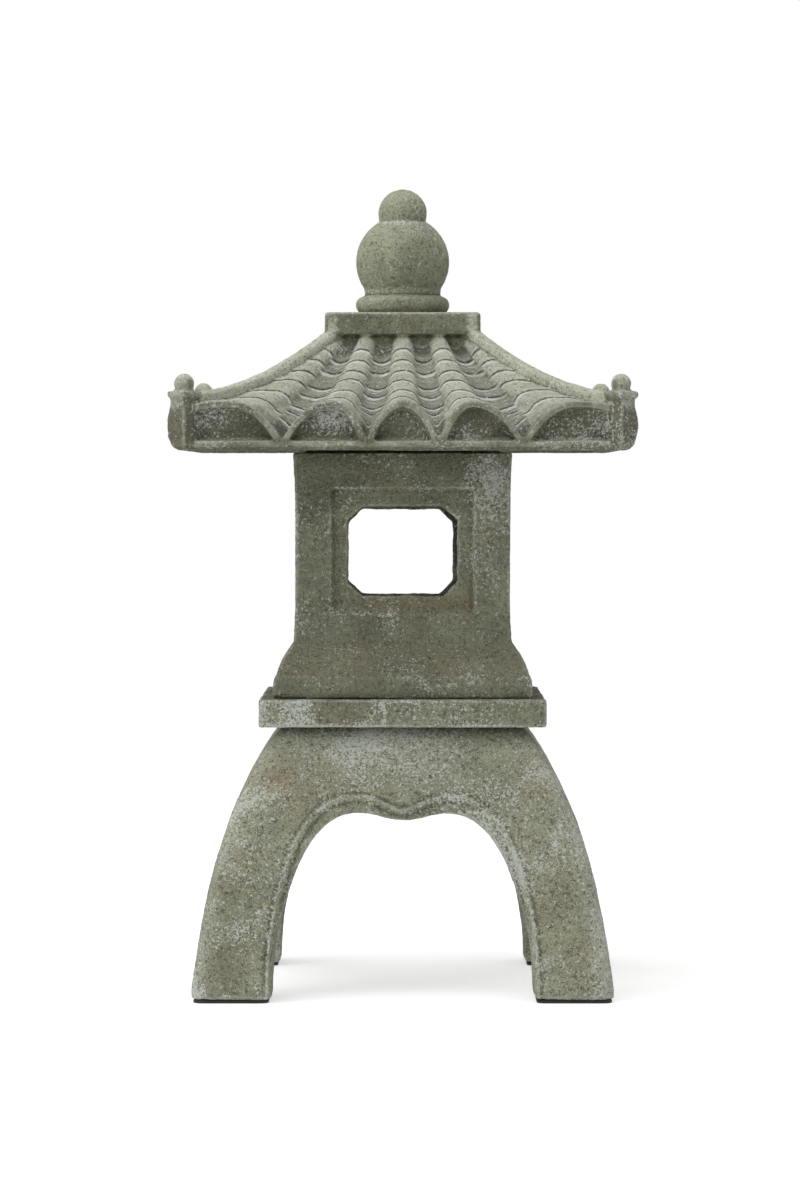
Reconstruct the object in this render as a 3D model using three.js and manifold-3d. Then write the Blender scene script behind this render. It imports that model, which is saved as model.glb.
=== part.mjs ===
// Cast stone garden lantern: a four-legged arched stand, a platform slab, a fire box with a window
// in each side, a tiled hip roof and a ball finial. The castings are stacked dry, and each one is
// centred on the next by a raised boss or a steel pin.
// Millimetres, +Z up. The origin is on the floor under the middle of the lantern, front at -Y.

import * as THREE from "three";
import { mergeVertices } from "three/addons/utils/BufferGeometryUtils.js";
import Module from "manifold-3d";

const wasm = await Module();
wasm.setup();

// ---- Fits ----
const seatGap = 0.3; // between two faces that rest on each other
const registerGap = 1.5; // around a boss or lug that centres one casting on the next
const rodGap = 0.5; // around a steel rod in its channel

// ---- Feet and stand ----
const padThickness = 2.5;
const padInset = 1.5; // how far a pad's edge lies inside the foot
const standHeight = 198.5; // foot to deck
const footHalf = 156.6; // centre line to the outside of a foot
const deckHalf = 91.7; // centre line to the edge of the deck
const legCorner = 11; // radius of the stand's upright corners
const archHalf = 97.6; // half the clear width between two feet
const archHeight = 135; // foot to the arch's shoulders
const archCusp = 4.5; // how far the middle of the arch hangs below its shoulders
const archLipFoot = 1.5; // width of the bevelled lip at the foot
const archLipCrown = 13; // and at the crown
const archLipDepth = 9; // how deep the bevel runs into the leg
const rodDiameter = 6;
const rodCover = 14; // between a rod's end and the deck above it
const rodFootRun = 4; // how far a rod's channel runs past it at the foot, through the casting
const rodDeckRun = 1; // and at its top

// ---- Platform ----
const platformHalf = 108;
const platformHeight = 21;
const deckBossHalf = 34;
const deckBossHeight = 8;
const socketHeadroom = 1.2; // above the deck boss in its socket
const chamberBossHeight = 6;

// ---- Fire box ----
const boxHeight = 184.5;
const boxHalf = 81; // at the middle of the plain wall
const boxFlare = 1.7; // extra half-width at the head and foot of the plain wall
const boxWall = 18;
const boxCorner = 3.5;
const mouldingHeight = 40.5; // the swelling base of the box
const mouldingHalf = 98;
const mouldingBand = 15.5; // height of the plain strip under the swell
const mouldingBatter = 1; // how far the strip leans in
const mouldingLedge = 1.3; // step from the strip in to the swell
const panelWidth = 108;
const panelHeight = 94;
const panelSill = 63.5; // foot of the box to the bottom of the panel
const panelDepth = 5;
const panelBevel = 4;
const windowWidth = 83;
const windowHeight = 69;
const windowSill = 76.5; // foot of the box to the bottom of the window
const windowChamfer = 11;
const headStep = 3; // the rim round the box's mouth stands this much above the outer edge
const headStepWidth = 8;

// ---- Roof ----
const eaveHalf = 174;
const roofHeight = 105.6; // underside to the top of the cap
const fasciaHeight = 7;
const underRecess = 2; // how far the underside is hollowed behind its drip edge
const dripEdge = 14;
const capHalf = 59;
const capHeight = 17;
const neckInset = 7; // the tiles start this far under the cap's edge
const tileRise = 37; // height of the ribs at the eave above the underside
const ribTopDepth = 7; // height of a rib above its channel at the cap
const ribSharpCap = 3; // power of the sine that shapes a rib's section, at the cap
const ribSharpEave = 1.76; // and at the eave
const ribSteps = 10;
const ribSink = 0.6; // how far a rib's feet lie under the channels
const ridgeWidth = 12;
const ridgeStand = 4.5; // how far the hip ridges stand above the ribs
const blockHalf = 9.5; // of the block that ends each ridge, square to the diagonal
const eaveCut = 26; // the eave's corners are cut off this far behind the blocks
const blockHeight = 43.6;
const ballRadius = 7.5;
const ballSink = 2; // how far a ball is sunk into its block
const rimBand = 5; // thickness of each tile's end
const rimRecess = 8; // how far the face under a tile's end is set back
const lugHeight = 10;
const lugWall = 14;
const domeDepth = 45; // hollow over the flame
const domeTopHalf = 34;

// Rib places along the eave and at the cap, from the middle of a side outwards.
const ribs = [
  { eave: 0, cap: 0 },
  { eave: 51.6, cap: 27.5 },
  { eave: 129, cap: 49 },
];
const valleys = [
  { eave: 26.8, cap: 13.5 },
  { eave: 89, cap: 38.5 },
  { eave: 196, cap: 62 },
];

// ---- Finial ----
const upperBall = 18.7;
const lowerBall = 35.8;
const upperCrease = 17.4; // radius of the crease under the upper ball
const lowerCrease = 29; // and of the one under the lower ball
const ringRadius = 36.3;
const ringFoot = 33.5;
const ringHeight = 15;
const finialCentre = 40.1; // foot of the finial to the middle of the lower ball
const pinDiameter = 12;
const pinInFinial = 38;
const pinInRoof = 26;

// ---- Levels ----
const footLevel = padThickness + seatGap;
const deckLevel = footLevel + standHeight;
const platformLevel = deckLevel + seatGap;
const platformTop = platformLevel + platformHeight;
const boxLevel = platformTop + seatGap;
const boxTop = boxLevel + boxHeight + headStep;
const roofSeat = boxTop + seatGap;
const roofLevel = roofSeat - underRecess;
const roofTop = roofLevel + roofHeight;
const finialLevel = roofTop + seatGap;

// ---- Shape helpers ----

// A solid with a ring of points at each station, closed by a flat face at each end.
function loft(rings) {
  const count = rings[0].length;
  const positions = rings.flat().flatMap((p) => [p.x, p.y, p.z]);
  const index = [];
  for (let station = 0; station < rings.length - 1; station += 1) {
    for (let i = 0; i < count; i += 1) {
      const j = (i + 1) % count;
      const a = station * count + i;
      const b = station * count + j;
      index.push(a, b, b + count, a, b + count, a + count);
    }
  }
  const flatten = new THREE.Quaternion().setFromUnitVectors(faceNormal(rings[0]), upward);
  const outline = rings[0].map((p) => p.clone().applyQuaternion(flatten));
  const triangles = THREE.ShapeUtils.triangulateShape(outline, []);
  const end = (rings.length - 1) * count;
  for (const [a, b, c] of triangles) {
    index.push(a, c, b);
    index.push(end + a, end + b, end + c);
  }
  const geometry = new THREE.BufferGeometry();
  geometry.setAttribute("position", new THREE.Float32BufferAttribute(positions, 3));
  geometry.setIndex(index);
  return geometry;
}

const upward = new THREE.Vector3(0, 0, 1);

// The unit normal of a ring of points, on the side from which they run anticlockwise.
function faceNormal(ring) {
  const normal = new THREE.Vector3();
  ring.forEach((p, i) => normal.add(new THREE.Vector3().crossVectors(p, ring[(i + 1) % ring.length])));
  return normal.normalize();
}

// A square with rounded corners, half wide and level at z.
function roundedSquare(half, radius, z, steps = 3) {
  const ring = [];
  for (let corner = 0; corner < 4; corner += 1) {
    for (let i = 0; i <= steps; i += 1) {
      const angle = (corner + i / steps) * (Math.PI / 2);
      const turn = (corner + 0.5) * (Math.PI / 2);
      const centre = (half - radius) * Math.SQRT2;
      const x = centre * Math.cos(turn) + radius * Math.cos(angle);
      const y = centre * Math.sin(turn) + radius * Math.sin(angle);
      ring.push(new THREE.Vector3(x, y, z));
    }
  }
  return ring;
}

// A square level at z, with its corners cut off where a cut is given.
function square(half, z, cut = 0) {
  const ring = [];
  for (let corner = 0; corner < 4; corner += 1) {
    const ends = cut > 0 ? [[half, half - cut], [half - cut, half]] : [[half, half]];
    for (const [x, y] of ends) {
      ring.push(new THREE.Vector3(x, y, z).applyAxisAngle(upward, corner * (Math.PI / 2)));
    }
  }
  return ring;
}

// A closed geometry as a solid, turned the right way out.
function solid(geometry) {
  const bare = geometry.clone();
  for (const name of Object.keys(bare.attributes)) {
    if (name !== "position") {
      bare.deleteAttribute(name);
    }
  }
  const merged = mergeVertices(bare, 1e-4);
  const vertProperties = new Float32Array(merged.attributes.position.array);
  const triVerts = new Uint32Array(merged.index.array);
  if (signedVolume(vertProperties, triVerts) < 0) {
    for (let i = 0; i < triVerts.length; i += 3) {
      [triVerts[i + 1], triVerts[i + 2]] = [triVerts[i + 2], triVerts[i + 1]];
    }
  }
  return new wasm.Manifold(new wasm.Mesh({ numProp: 3, vertProperties, triVerts }));
}

function signedVolume(points, triangles) {
  const corner = (i) => new THREE.Vector3().fromArray(points, triangles[i] * 3);
  let total = 0;
  for (let i = 0; i < triangles.length; i += 3) {
    total += corner(i).dot(corner(i + 1).cross(corner(i + 2)));
  }
  return total / 6;
}

function box(halfX, halfY, bottom, top) {
  const geometry = new THREE.BoxGeometry(2 * halfX, 2 * halfY, top - bottom);
  return solid(geometry.translate(0, 0, (bottom + top) / 2));
}

// The same solid on each of the four sides or corners.
function onFourSides(shape) {
  return [90, 180, 270].reduce((sum, angle) => sum.add(shape.rotate([0, 0, angle])), shape);
}

const castStone = { color: 0x7d7f6c, roughness: 0.92, metalness: 0 };
const paleStone = { color: 0x9a9c88, roughness: 0.9, metalness: 0 };
const darkStone = { color: 0x5d5f4e, roughness: 0.94, metalness: 0 };
const blackRubber = { color: 0x191919, roughness: 0.8, metalness: 0 };
const bareSteel = { color: 0x8a8885, roughness: 0.5, metalness: 1 };

const lantern = new THREE.Group();

function addMesh(name, geometry, finish) {
  const mesh = new THREE.Mesh(geometry, new THREE.MeshStandardMaterial(finish));
  mesh.name = name;
  lantern.add(mesh);
}

function addSolid(name, shape, finish) {
  const { vertProperties, triVerts } = shape.getMesh();
  const geometry = new THREE.BufferGeometry();
  geometry.setAttribute("position", new THREE.BufferAttribute(vertProperties, 3));
  geometry.setIndex(new THREE.BufferAttribute(triVerts, 1));
  geometry.computeVertexNormals();
  addMesh(name, geometry, finish);
}

// ---- Stand ----

// Half-width of the stand at each height: a round knee under the deck, then a leg that splays.
const legCurve = new THREE.CubicBezierCurve(
  new THREE.Vector2(deckHalf, deckLevel),
  new THREE.Vector2(deckHalf + 0.53 * (footHalf - deckHalf), footLevel + 0.78 * standHeight),
  new THREE.Vector2(deckHalf + 0.81 * (footHalf - deckHalf), footLevel + 0.52 * standHeight),
  new THREE.Vector2(footHalf, footLevel + 0.03 * standHeight),
);
const legStations = [...legCurve.getPoints(16), new THREE.Vector2(footHalf, footLevel)];

function standHalfAt(z) {
  const below = legStations.findIndex((p) => p.y <= z);
  if (below <= 0) {
    return below < 0 ? footHalf : deckHalf;
  }
  const [upper, lower] = [legStations[below - 1], legStations[below]];
  const share = (upper.y - z) / (upper.y - lower.y);
  return upper.x + share * (lower.x - upper.x);
}

// The arch's outline from the left foot over the crown to the right foot, widened by a lip.
function archOutline(lip) {
  const crown = footLevel + archHeight;
  const half = new THREE.CurvePath();
  half.add(new THREE.QuadraticBezierCurve(
    new THREE.Vector2(archHalf, footLevel - 1),
    new THREE.Vector2(archHalf, footLevel + 0.34 * archHeight),
    new THREE.Vector2(0.86 * archHalf, footLevel + 0.62 * archHeight),
  ));
  half.add(new THREE.CubicBezierCurve(
    new THREE.Vector2(0.86 * archHalf, footLevel + 0.62 * archHeight),
    new THREE.Vector2(0.74 * archHalf, footLevel + 0.85 * archHeight),
    new THREE.Vector2(0.58 * archHalf, crown),
    new THREE.Vector2(0.34 * archHalf, crown),
  ));
  half.add(new THREE.CubicBezierCurve(
    new THREE.Vector2(0.34 * archHalf, crown),
    new THREE.Vector2(0.2 * archHalf, crown),
    new THREE.Vector2(0.14 * archHalf, crown - archCusp),
    new THREE.Vector2(0, crown - archCusp),
  ));
  const points = half.curves.flatMap((curve, i) => curve.getPoints(i === 1 ? 8 : 4).slice(i ? 1 : 0));
  const widened = points.map((p) => {
    const rise = THREE.MathUtils.clamp((p.y - footLevel) / archHeight, 0, 1);
    const side = lip * THREE.MathUtils.lerp(archLipFoot, archLipCrown, rise ** 1.5);
    const outward = new THREE.Vector2(p.x / archHalf, rise ** 2).normalize();
    return new THREE.Vector2(p.x + side * outward.x, p.y + (rise > 0 ? side * outward.y : 0));
  });
  const mirrored = widened.slice(0, -1).reverse().map((p) => new THREE.Vector2(-p.x, p.y));
  return [...widened, ...mirrored];
}

// The opening between two pairs of legs, with a bevelled lip on both faces.
function archCut() {
  const proud = 4;
  const wide = archOutline(1 + proud / archLipDepth);
  const clear = archOutline(0);
  const place = (outline, side, offset) => outline.map(
    (p) => new THREE.Vector3(p.x, side * (standHalfAt(p.y) + offset), p.y),
  );
  return solid(loft([
    place(wide, -1, 40),
    place(wide, -1, proud),
    place(clear, -1, -archLipDepth),
    place(clear, 1, -archLipDepth),
    place(wide, 1, proud),
    place(wide, 1, 40),
  ]));
}

// A reinforcing rod's line in one leg, from the foot up under the deck.
function rodLine() {
  const footMiddle = (footHalf + archHalf) / 2;
  const topMiddle = deckHalf * 0.72;
  return new THREE.CatmullRomCurve3([
    new THREE.Vector3(footMiddle, footMiddle, footLevel + 1),
    new THREE.Vector3(0.97 * footMiddle, 0.97 * footMiddle, footLevel + 0.3 * standHeight),
    new THREE.Vector3(0.84 * footMiddle, 0.84 * footMiddle, footLevel + 0.62 * standHeight),
    new THREE.Vector3(topMiddle, topMiddle, deckLevel - rodCover),
  ]);
}

// The same line, run on straight at both ends.
function channelLine() {
  const rod = rodLine();
  const below = rod.getPoint(0).addScaledVector(rod.getTangent(0), -rodFootRun);
  const above = rod.getPoint(1).addScaledVector(rod.getTangent(1), rodDeckRun);
  const line = new THREE.CurvePath();
  line.add(new THREE.LineCurve3(below, rod.getPoint(0)));
  line.add(rod);
  line.add(new THREE.LineCurve3(rod.getPoint(1), above));
  return line;
}

function barAlong(extrudePath, radius) {
  const section = new THREE.Shape().absarc(0, 0, radius, 0, 2 * Math.PI);
  const settings = { steps: 12, curveSegments: 5, bevelEnabled: false, extrudePath };
  return solid(new THREE.ExtrudeGeometry(section, settings));
}

function legStand() {
  const body = loft(legStations.map((p) => roundedSquare(p.x, legCorner, p.y)));
  const boss = box(deckBossHalf, deckBossHalf, deckLevel - 1, deckLevel + deckBossHeight);
  const arch = archCut();
  const channel = barAlong(channelLine(), rodDiameter / 2 + rodGap);
  return solid(body)
    .add(boss)
    .subtract(arch)
    .subtract(arch.rotate([0, 0, 90]))
    .subtract(onFourSides(channel));
}

addSolid("leg_stand", legStand(), castStone);

const footWidth = footHalf - archHalf;
const cornerNames = ["rear_right", "rear_left", "front_left", "front_right"];
cornerNames.forEach((corner, i) => {
  const middle = (footHalf + archHalf) / 2;
  const outline = roundedSquare(footWidth / 2 - padInset, 6, 0);
  const top = outline.map((p) => new THREE.Vector3(p.x, p.y, padThickness));
  const pad = solid(loft([outline, top])).translate([middle, middle, 0]).rotate([0, 0, 90 * i]);
  addSolid(`foot_pad_${corner}`, pad, blackRubber);
  const rod = barAlong(rodLine(), rodDiameter / 2).rotate([0, 0, 90 * i]);
  addSolid(`leg_rod_${corner}`, rod, bareSteel);
});

// ---- Platform ----

const chamberHalf = boxHalf - boxWall;

function platformSlab() {
  const edge = 2;
  const slab = loft([
    roundedSquare(platformHalf - edge, 3, platformLevel),
    roundedSquare(platformHalf, 4, platformLevel + edge),
    roundedSquare(platformHalf, 4, platformTop - edge),
    roundedSquare(platformHalf - edge, 3, platformTop),
  ]);
  const bossHalf = chamberHalf - registerGap;
  const boss = box(bossHalf, bossHalf, platformTop - 1, platformTop + chamberBossHeight);
  const socketHalf = deckBossHalf + registerGap;
  const socketTop = deckLevel + deckBossHeight + socketHeadroom;
  const socket = box(socketHalf, socketHalf, platformLevel - 1, socketTop);
  return solid(slab).add(boss).subtract(socket);
}

addSolid("platform_slab", platformSlab(), castStone);

// ---- Fire box ----

function panelCut() {
  const sill = boxLevel + panelSill;
  const outline = (inset, y) => {
    const [left, right] = [-panelWidth / 2 + inset, panelWidth / 2 - inset];
    const [bottom, top] = [sill + 2 * inset, sill + panelHeight - inset];
    const corners = [[left, bottom], [right, bottom], [right, top], [left, top]];
    return corners.map(([x, z]) => new THREE.Vector3(x, y, z));
  };
  const slope = panelBevel / panelDepth;
  const face = -boxHalf;
  return solid(loft([outline(-slope * boxFlare * 2, face - 2 * boxFlare), outline(panelBevel, face + panelDepth)]));
}

function windowCut() {
  const [half, sill] = [windowWidth / 2, boxLevel + windowSill];
  const outline = new THREE.Shape([
    new THREE.Vector2(-half + windowChamfer, sill),
    new THREE.Vector2(half - windowChamfer, sill),
    new THREE.Vector2(half, sill + windowChamfer),
    new THREE.Vector2(half, sill + windowHeight - windowChamfer),
    new THREE.Vector2(half - windowChamfer, sill + windowHeight),
    new THREE.Vector2(-half + windowChamfer, sill + windowHeight),
    new THREE.Vector2(-half, sill + windowHeight - windowChamfer),
    new THREE.Vector2(-half, sill + windowChamfer),
  ]);
  const depth = 2 * mouldingHalf;
  const through = new THREE.ExtrudeGeometry(outline, { depth, bevelEnabled: false });
  return solid(through.rotateX(Math.PI / 2).translate(0, mouldingHalf, 0));
}

function fireBox() {
  const wallFoot = boxLevel + mouldingHeight;
  const wallTop = boxLevel + boxHeight;
  const bandHalf = mouldingHalf - mouldingBatter;
  const bandTop = boxLevel + mouldingBand;
  const swellFoot = new THREE.Vector2(bandHalf - mouldingLedge, bandTop + 0.6);
  const swellHead = new THREE.Vector2(boxHalf + boxFlare, wallFoot);
  const swell = new THREE.QuadraticBezierCurve(
    swellFoot,
    new THREE.Vector2(
      THREE.MathUtils.lerp(swellFoot.x, swellHead.x, 0.25),
      THREE.MathUtils.lerp(swellFoot.y, swellHead.y, 0.57),
    ),
    swellHead,
  );
  const wall = new THREE.SplineCurve([
    new THREE.Vector2(boxHalf + boxFlare, wallFoot),
    new THREE.Vector2(boxHalf, (wallFoot * 3 + wallTop) / 4),
    new THREE.Vector2(boxHalf, (wallFoot + wallTop * 3) / 4),
    new THREE.Vector2(boxHalf + boxFlare, wallTop),
  ]);
  const profile = [
    new THREE.Vector2(mouldingHalf - 1, boxLevel),
    new THREE.Vector2(mouldingHalf, boxLevel + 1.5),
    new THREE.Vector2(bandHalf, bandTop),
    ...swell.getPoints(6),
    ...wall.getPoints(6).slice(1),
  ];
  const body = solid(loft(profile.map((p) => roundedSquare(p.x, boxCorner, p.y, 2))));
  const rimHalf = boxHalf - headStepWidth;
  const rim = box(rimHalf, rimHalf, wallTop - 1, wallTop + headStep);
  const chamber = box(chamberHalf, chamberHalf, boxLevel - 1, boxTop + 1);
  const window = windowCut();
  return body
    .add(rim)
    .subtract(chamber)
    .subtract(onFourSides(panelCut()))
    .subtract(window)
    .subtract(window.rotate([0, 0, 90]));
}

addSolid("fire_box", fireBox(), darkStone);

// ---- Roof ----

const capLevel = roofTop - capHeight;
const ribEaveLevel = roofLevel + tileRise;
const channelEaveLevel = roofLevel + fasciaHeight;
const neckHalf = capHalf - neckInset;
const cornerCut = blockHalf * Math.SQRT2;

// Height of the rib crests, which sweep down from the cap and flatten towards the eave.
const crestCurve = new THREE.CubicBezierCurve(
  new THREE.Vector2(neckHalf, capLevel + 2),
  new THREE.Vector2(neckHalf + 0.38 * (eaveHalf - neckHalf), capLevel - 0.7 * (capLevel - ribEaveLevel)),
  new THREE.Vector2(eaveHalf - 0.3 * (eaveHalf - neckHalf), ribEaveLevel + 1),
  new THREE.Vector2(eaveHalf, ribEaveLevel),
);
const ribStations = crestCurve.getPoints(7);

// How far down the slope a distance from the centre line is, from 0 at the cap to 1 at the eave.
function slopeShare(distance) {
  return (distance - neckHalf) / (eaveHalf - neckHalf);
}

// Height of the channels between the ribs, a straight slope down to the fascia.
function channelLevel(distance) {
  const top = capLevel + 2 - ribTopDepth;
  return THREE.MathUtils.lerp(top, channelEaveLevel, slopeShare(distance));
}

// Where a line that fans out from the cap to the eave lies at a distance from the centre line.
function fan(line, distance) {
  return THREE.MathUtils.lerp(line.cap, line.eave, slopeShare(distance));
}

// One rib's arched section, from its left foot over the crest to its right foot, shrunk by a band.
function ribSection(left, crest, right, distance, top, band) {
  const base = channelLevel(distance) - ribSink;
  const power = THREE.MathUtils.lerp(ribSharpCap, ribSharpEave, slopeShare(distance));
  const points = [];
  for (let i = 0; i <= ribSteps; i += 1) {
    const angle = (Math.PI * i) / ribSteps;
    const reach = Math.cos(angle);
    const foot = reach > 0 ? fan(left, distance) : fan(right, distance);
    const middle = fan(crest, distance);
    const span = Math.abs(foot - middle) - band;
    const x = middle - reach * span;
    const z = base + (top - base - band) * Math.sin(angle) ** power;
    points.push(new THREE.Vector3(x, -distance, z));
  }
  const depth = 12;
  points.push(new THREE.Vector3(points[ribSteps].x, -distance, base - depth));
  points.push(new THREE.Vector3(points[0].x, -distance, base - depth));
  return points;
}

// The part of the roof that belongs to the front side, between its two hips.
function frontSide() {
  const cut = eaveCut - 1.5;
  const outline = new THREE.Shape([
    new THREE.Vector2(0, 0),
    new THREE.Vector2(-eaveHalf + cut / 2, -eaveHalf + cut / 2),
    new THREE.Vector2(-eaveHalf + cut, -eaveHalf),
    new THREE.Vector2(eaveHalf - cut, -eaveHalf),
    new THREE.Vector2(eaveHalf - cut / 2, -eaveHalf + cut / 2),
  ]);
  return solid(new THREE.ExtrudeGeometry(outline, { depth: roofHeight, bevelEnabled: false }))
    .translate([0, 0, roofLevel]);
}

// The left and right foot and the crest of each of the five ribs on one side.
function ribLines() {
  const mirror = (line) => ({ eave: -line.eave, cap: -line.cap });
  const right = ribs.slice(1).map((crest, i) => ({ left: valleys[i], crest, right: valleys[i + 1] }));
  const left = right.map((rib) => ({
    left: mirror(rib.right), crest: mirror(rib.crest), right: mirror(rib.left),
  }));
  return [...left, { left: mirror(valleys[0]), crest: ribs[0], right: valleys[0] }, ...right];
}

function ribSolid(rib) {
  const rings = ribStations.map((p) => ribSection(rib.left, rib.crest, rib.right, p.x, p.y, 0));
  return solid(loft(rings));
}

// The set-back face under the end of one tile.
function rimCut(rib) {
  const inner = eaveHalf - rimRecess;
  const outer = eaveHalf + 1;
  const level = (band, distance, drop) => ribSection(rib.left, rib.crest, rib.right, distance, ribEaveLevel, band)
    .slice(0, ribSteps + 1)
    .map((p) => new THREE.Vector3(p.x, p.y, Math.max(p.z, channelEaveLevel) - drop));
  return solid(loft([level(rimBand, outer, 0), level(rimBand + 2, inner, 0)]));
}

function roofBody() {
  return solid(loft([
    square(eaveHalf - 2, roofLevel, eaveCut),
    square(eaveHalf, roofLevel + 2, eaveCut),
    square(eaveHalf, channelEaveLevel, eaveCut),
    square(neckHalf, channelLevel(neckHalf), 2),
    square(neckHalf - 4, capLevel + 2, 1),
  ]));
}

// One hip ridge: a square bar down the diagonal from the cap to the corner block.
function ridge() {
  const stations = crestCurve.getPoints(8).filter((p) => p.x < eaveHalf - cornerCut);
  stations.push(new THREE.Vector2(eaveHalf - cornerCut, ribEaveLevel));
  const side = ridgeWidth / 2 / Math.SQRT2;
  return solid(loft(stations.map((p) => {
    const top = p.y + ridgeStand;
    const bottom = channelLevel(p.x) - 4;
    const [near, far] = [p.x - side, p.x + side];
    return [
      new THREE.Vector3(far, near, bottom),
      new THREE.Vector3(near, far, bottom),
      new THREE.Vector3(near, far, top),
      new THREE.Vector3(far, near, top),
    ];
  })));
}

// The scrolled block that ends a ridge, facing out along the diagonal, with a ball on top.
function cornerBlock() {
  const centre = eaveHalf - cornerCut;
  const top = roofLevel + blockHeight;
  const block = loft([
    square(blockHalf - 4.5, roofLevel),
    square(blockHalf - 2, roofLevel + 0.07 * blockHeight),
    square(blockHalf - 0.5, roofLevel + 0.2 * blockHeight),
    square(blockHalf, roofLevel + 0.4 * blockHeight),
    square(blockHalf - 0.9, roofLevel + 0.6 * blockHeight),
    square(blockHalf - 2.6, roofLevel + 0.78 * blockHeight),
    square(blockHalf - 2.6, roofLevel + 0.83 * blockHeight),
    square(blockHalf, roofLevel + 0.88 * blockHeight),
    square(blockHalf, top),
  ]);
  const ball = new THREE.SphereGeometry(ballRadius, 12, 8).rotateX(Math.PI / 2);
  return solid(block)
    .add(solid(ball).translate([0, 0, top + ballRadius - ballSink]))
    .rotate([0, 0, 45])
    .translate([centre, centre, 0]);
}

function roof() {
  const cap = box(capHalf, capHalf, capLevel, roofTop);
  const lines = ribLines();
  const sideRibs = lines.map(ribSolid).reduce((sum, rib) => sum.add(rib)).intersect(frontSide());
  const sideRims = lines.map(rimCut).reduce((sum, rim) => sum.add(rim));
  const underside = box(eaveHalf - dripEdge, eaveHalf - dripEdge, roofLevel - 1, roofSeat);
  const lugHalf = chamberHalf - registerGap;
  const lug = box(lugHalf, lugHalf, roofSeat - lugHeight, roofSeat + 1);
  const dome = solid(loft([
    square(lugHalf - lugWall, roofSeat - lugHeight - 1),
    square(domeTopHalf, roofSeat + domeDepth),
  ]));
  const pinHole = solid(new THREE.CylinderGeometry(
    pinDiameter / 2 + registerGap / 3, pinDiameter / 2 + registerGap / 3, pinInRoof + 2, 20,
  ).rotateX(Math.PI / 2)).translate([0, 0, roofTop - pinInRoof / 2 + 0.5]);
  return roofBody()
    .add(cap)
    .add(onFourSides(sideRibs))
    .add(onFourSides(ridge()))
    .subtract(onFourSides(sideRims))
    .add(onFourSides(cornerBlock()))
    .subtract(underside)
    .add(lug)
    .subtract(dome)
    .subtract(pinHole);
}

addSolid("roof", roof(), paleStone);

// ---- Finial ----

// The arc of a ball from one radius to another, measured round the axis.
function ballArc(radius, centre, fromAngle, toAngle, steps) {
  return new THREE.EllipseCurve(0, centre, radius, radius, fromAngle, toAngle).getPoints(steps);
}

function finialProfile() {
  const lowerAngle = -Math.acos(lowerCrease / lowerBall);
  const lowerEnd = Math.acos(upperCrease / lowerBall) * 0.97;
  const creaseLevel = finialCentre + lowerBall * Math.sin(lowerEnd);
  const upperStart = -Math.acos(upperCrease / upperBall);
  const upperCentre = creaseLevel - upperBall * Math.sin(upperStart);
  return [
    new THREE.Vector2(0, 0),
    new THREE.Vector2(ringFoot - 1, 0),
    new THREE.Vector2(ringFoot, 1.5),
    new THREE.Vector2(ringRadius - 1, 5),
    new THREE.Vector2(ringRadius, 8),
    new THREE.Vector2(ringRadius - 2, 11.5),
    new THREE.Vector2(lowerCrease, ringHeight - 1),
    ...ballArc(lowerBall, finialCentre, lowerAngle, lowerEnd, 12),
    ...ballArc(upperBall, upperCentre, upperStart, Math.PI / 2, 9).slice(1, -1),
    new THREE.Vector2(0, upperCentre + upperBall),
  ];
}

function finial() {
  const turned = new THREE.LatheGeometry(finialProfile(), 28).rotateX(Math.PI / 2);
  const hole = new THREE.CylinderGeometry(
    pinDiameter / 2 + seatGap, pinDiameter / 2 + seatGap, pinInFinial + 2, 20,
  ).rotateX(Math.PI / 2);
  return solid(turned)
    .subtract(solid(hole).translate([0, 0, pinInFinial / 2 - 0.7]))
    .translate([0, 0, finialLevel]);
}

addSolid("finial", finial(), castStone);

const pinLength = pinInFinial + pinInRoof - 2 * seatGap;
const pin = new THREE.CylinderGeometry(pinDiameter / 2, pinDiameter / 2, pinLength, 20)
  .rotateX(Math.PI / 2)
  .translate(0, 0, finialLevel + (pinInFinial - pinInRoof) / 2);
addSolid("finial_dowel", solid(pin), bareSteel);

export default lantern;
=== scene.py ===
import math

import bmesh
import bpy
import numpy as np
from mathutils import Matrix, Vector


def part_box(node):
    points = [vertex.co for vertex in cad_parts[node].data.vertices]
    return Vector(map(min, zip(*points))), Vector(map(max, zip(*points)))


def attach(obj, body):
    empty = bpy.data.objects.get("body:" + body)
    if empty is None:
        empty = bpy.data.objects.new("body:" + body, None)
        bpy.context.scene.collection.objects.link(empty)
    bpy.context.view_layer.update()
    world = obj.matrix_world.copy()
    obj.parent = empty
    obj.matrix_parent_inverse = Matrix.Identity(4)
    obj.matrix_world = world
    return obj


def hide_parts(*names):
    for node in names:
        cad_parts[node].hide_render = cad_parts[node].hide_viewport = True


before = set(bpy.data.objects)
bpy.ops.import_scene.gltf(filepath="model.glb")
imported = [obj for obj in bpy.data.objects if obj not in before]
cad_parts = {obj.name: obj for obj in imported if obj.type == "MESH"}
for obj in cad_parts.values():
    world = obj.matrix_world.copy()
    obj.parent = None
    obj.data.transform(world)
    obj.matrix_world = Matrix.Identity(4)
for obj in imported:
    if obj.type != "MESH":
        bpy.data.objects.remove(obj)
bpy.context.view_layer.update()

MM = 0.001
TRIANGLES = 195_000  # at most, in any one piece

# ---- Camera ----
CAMERA_DISTANCE = 3.414  # from the lantern's axis
CAMERA_ASIDE = -2 * MM
CAMERA_HEIGHT = 0.387
CAMERA_LENS = 132.4
CAMERA_PITCH = math.radians(1.568)  # downwards

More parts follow.
